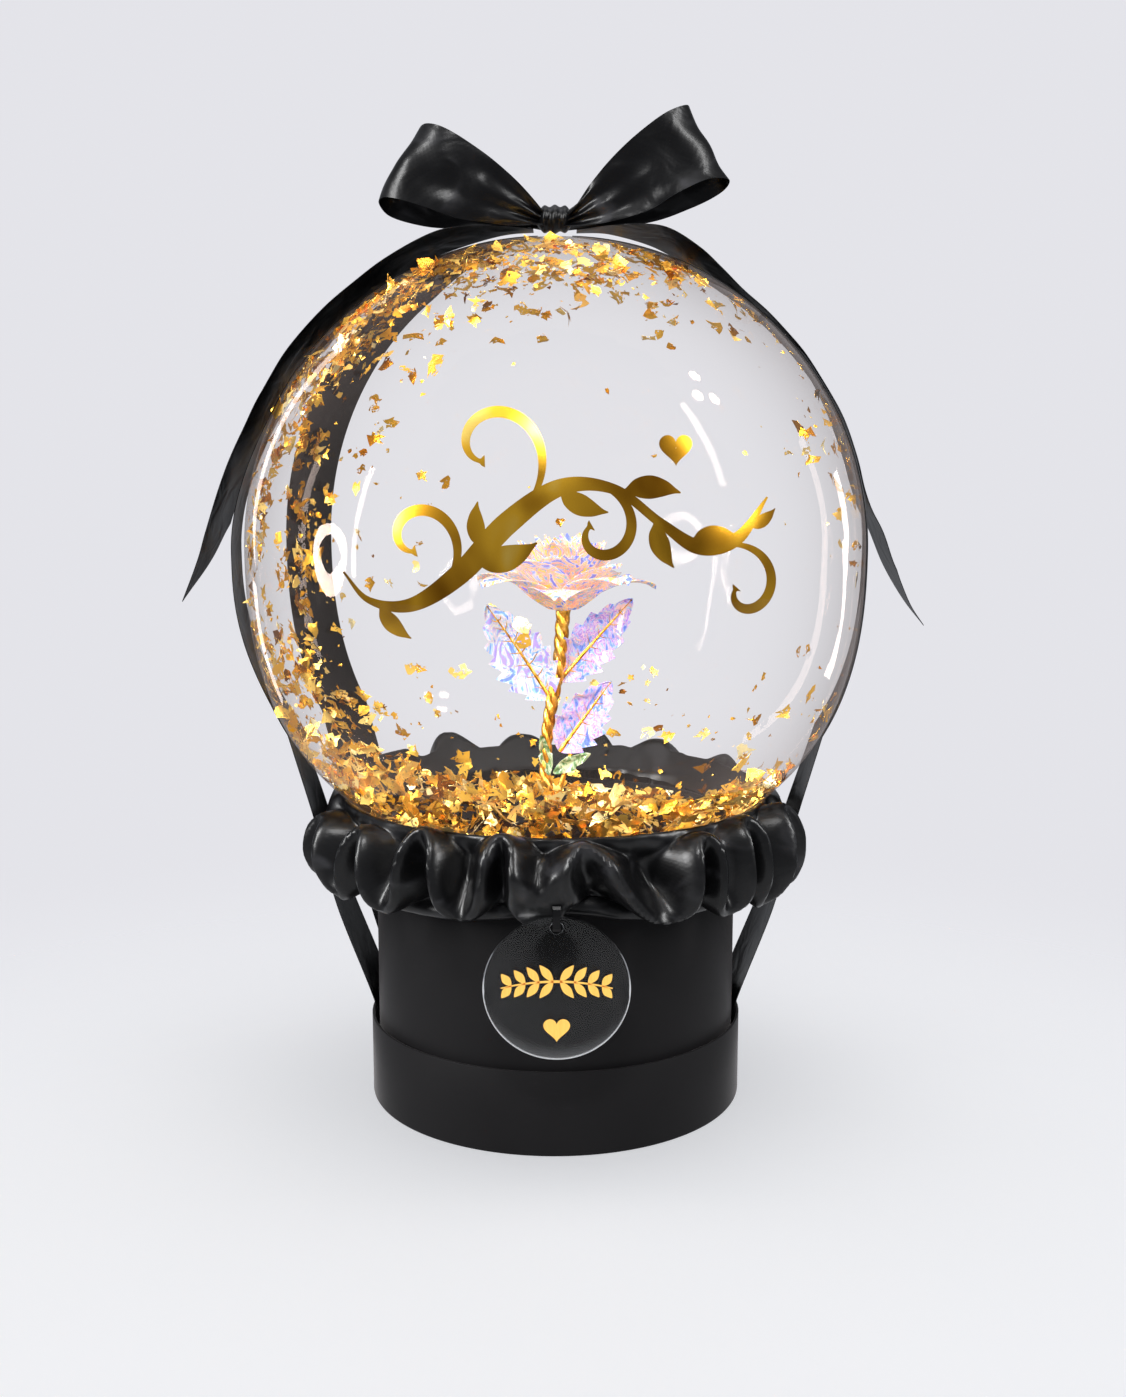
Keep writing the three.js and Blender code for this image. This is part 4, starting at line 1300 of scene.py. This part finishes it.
def heartGrid(centre, size, place):
    t = np.linspace(0, 2 * np.pi, 73)[:-1]
    x = 16 * np.sin(t) ** 3 / 32
    z = (13 * np.cos(t) - 5 * np.cos(2 * t) - 2 * np.cos(3 * t) - np.cos(4 * t)) / 32
    scale = np.linspace(0.02, 1, 8)[None]
    flatX = centre[0] + size * x[:, None] * scale
    flatZ = centre[1] + size * z[:, None] * scale
    return np.stack([flatX, place(flatX, flatZ), flatZ], axis=2)


# A curl that winds in from a big radius to a small one and ends in a bud.
def tendrilStops(start, heading, side, big, small, turned):
    share = np.linspace(0, 1, 36)
    radius = big * (small / big) ** share
    angle = heading + side * turned * share
    step = radius * turned / 35
    x = start[0] + np.cumsum(np.cos(angle) * step)
    z = start[1] + np.cumsum(np.sin(angle) * step)
    width = 1.1 + 3.4 * np.sin(np.pi * share ** 0.8) + 3.6 * smoothStep(0.93, 1, share)
    return np.stack([x, z, width], axis=1)


def leafStops(root, heading, side, long):
    stops = []
    for share, swell in flourish['leafShape']:
        angle = heading - side * flourish['leafBend'] * share
        reach = long * share
        stops.append((root[0] + reach * math.cos(angle), root[1] + reach * math.sin(angle),
                      flourish['leafWide'] * long * swell))
    return stops


# Flat pieces of gold from strokes and a heart, each closed.
def ornamentShells(strokes, heartCentre, heartSize, place, thickness):
    shells = [sheetShell(strokeGrid(stroke, place), thickness)[:2] for stroke in strokes]
    shells.append(sheetShell(heartGrid(heartCentre, heartSize, place), thickness, joined=True)[:2])
    return joinShells(shells)


def makeFlourish():
    f = flourish
    stalk = evenCurve(f['stem'], 200)
    heading = np.unwrap(np.arctan2(*np.gradient(stalk[:, :2], axis=0).T[::-1]))
    strokes = [f['stem']]
    for share, side, big, small, turned in f['tendrils']:
        at = int(share * 199)
        strokes.append(tendrilStops(stalk[at], heading[at], side, big, small, turned))
    for share, side, long, turned in f['leaves']:
        at = int(share * 199)
        strokes.append(leafStops(stalk[at], heading[at] + side * math.radians(turned), side, long))
    points, faces = ornamentShells(strokes, f['heart']['centre'], f['heart']['size'], onFront, f['thickness'])
    makePiece('goldFlourish', points, faces, mirrorGoldFinish())


# The tag: a clear disc with a drilled hole, a gold ornament and a black loop.
tag = {'radius': 31.8, 'thickness': 2.5, 'centre': (1, -111.5, 86.6), 'hole': 2.5, 'inset': 5, 'bevel': 0.55,
       'sides': 160}
# Sprig: pairs of leaves that point away from its middle, on a stalk that droops at both ends.
sprig = {'reach': 24, 'leaves': 4, 'long': 9.5, 'wide': 3.6, 'height': 3.5, 'droop': 3, 'lean': (0.62, 0.78),
         'leafShape': ((0.28, 0.8), (0.55, 1.0), (0.82, 0.55)), 'heart': {'centre': (0, -17.6), 'size': 11.5},
         'thickness': 0.1, 'lift': 0.12}


def makeTag():
    x0, back, z0 = tag['centre']
    face = back - tag['thickness']
    bevel, hole, radius, sides = tag['bevel'], tag['hole'], tag['radius'], tag['sides']
    turn = np.linspace(0, 2 * np.pi, sides, endpoint=False)
    holeZ = radius - tag['inset']
    small = np.stack([hole * np.cos(turn), holeZ + hole * np.sin(turn)], axis=1)
    large = np.stack([radius * np.cos(turn), radius * np.sin(turn)], axis=1)
    rings = []
    # from the hole's back edge over the back, round the rim and across the face to the hole again
    for share, depth in ((0, back - bevel), (0.02, back), (0.98, back), (1, back - bevel), (1, face + bevel),
                         (0.98, face), (0.02, face), (0, face + bevel)):
        flat = small * (1 - share) + large * share
        rings.append(np.stack([x0 + flat[:, 0], np.full(sides, depth), z0 + flat[:, 1]], axis=1))
    faces = quadsBetween(len(rings), sides, ringsJoin=True, inward=True)
    makePiece('clearTag', np.concatenate(rings), faces, acrylicFinish(), 'tag_acrylic', ['tag'])


def makeSprig():
    x0, back, z0 = tag['centre']
    s = sprig
    strokes = [[(x0 + x, z0 + s['height'] - (x / s['reach']) ** 2 * s['droop'], 1.1 - abs(x) / 40)
                for x in np.linspace(-s['reach'], s['reach'], 9)]]
    for side in (1, -1):
        for leaf in range(s['leaves']):
            share = (leaf + 0.25) / s['leaves']
            rootX, rootZ = x0 + side * share * s['reach'], z0 + s['height'] - share ** 2 * s['droop']
            size = s['long'] * (1 - 0.35 * share)
            widths = [(0, 0.5)] + [(k, s['wide'] * swell) for k, swell in s['leafShape']] + [(1, 0.3)]
            for up in (1, -1):
                stepX, stepZ = side * size * s['lean'][0], up * size * s['lean'][1]
                strokes.append([(rootX + stepX * k, rootZ + stepZ * k, width) for k, width in widths])

    def onTag(x, z):
        return 0 * x + back - tag['thickness'] - s['lift']
    heartX, heartZ = s['heart']['centre']
    heartCentre = (x0 + heartX, z0 + heartZ)
    points, faces = ornamentShells(strokes, heartCentre, s['heart']['size'], onTag, s['thickness'])
    makePiece('tagOrnament', points, faces, tagGoldFinish())


# The tag's loop keeps its own solid, in the colour of the ribbon.
def dressTagRibbon(satin):
    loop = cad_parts['tag_ribbon'].data
    loop.materials.clear()
    loop.materials.append(satin)


makeFlourish()
makeTag()
makeSprig()
dressTagRibbon(ribbonSatin)
print('ornaments and tag are hung')

aimLights({'film': [film], 'foil': foilPieces}, {'room': [film], 'cloth': [film, floor]})
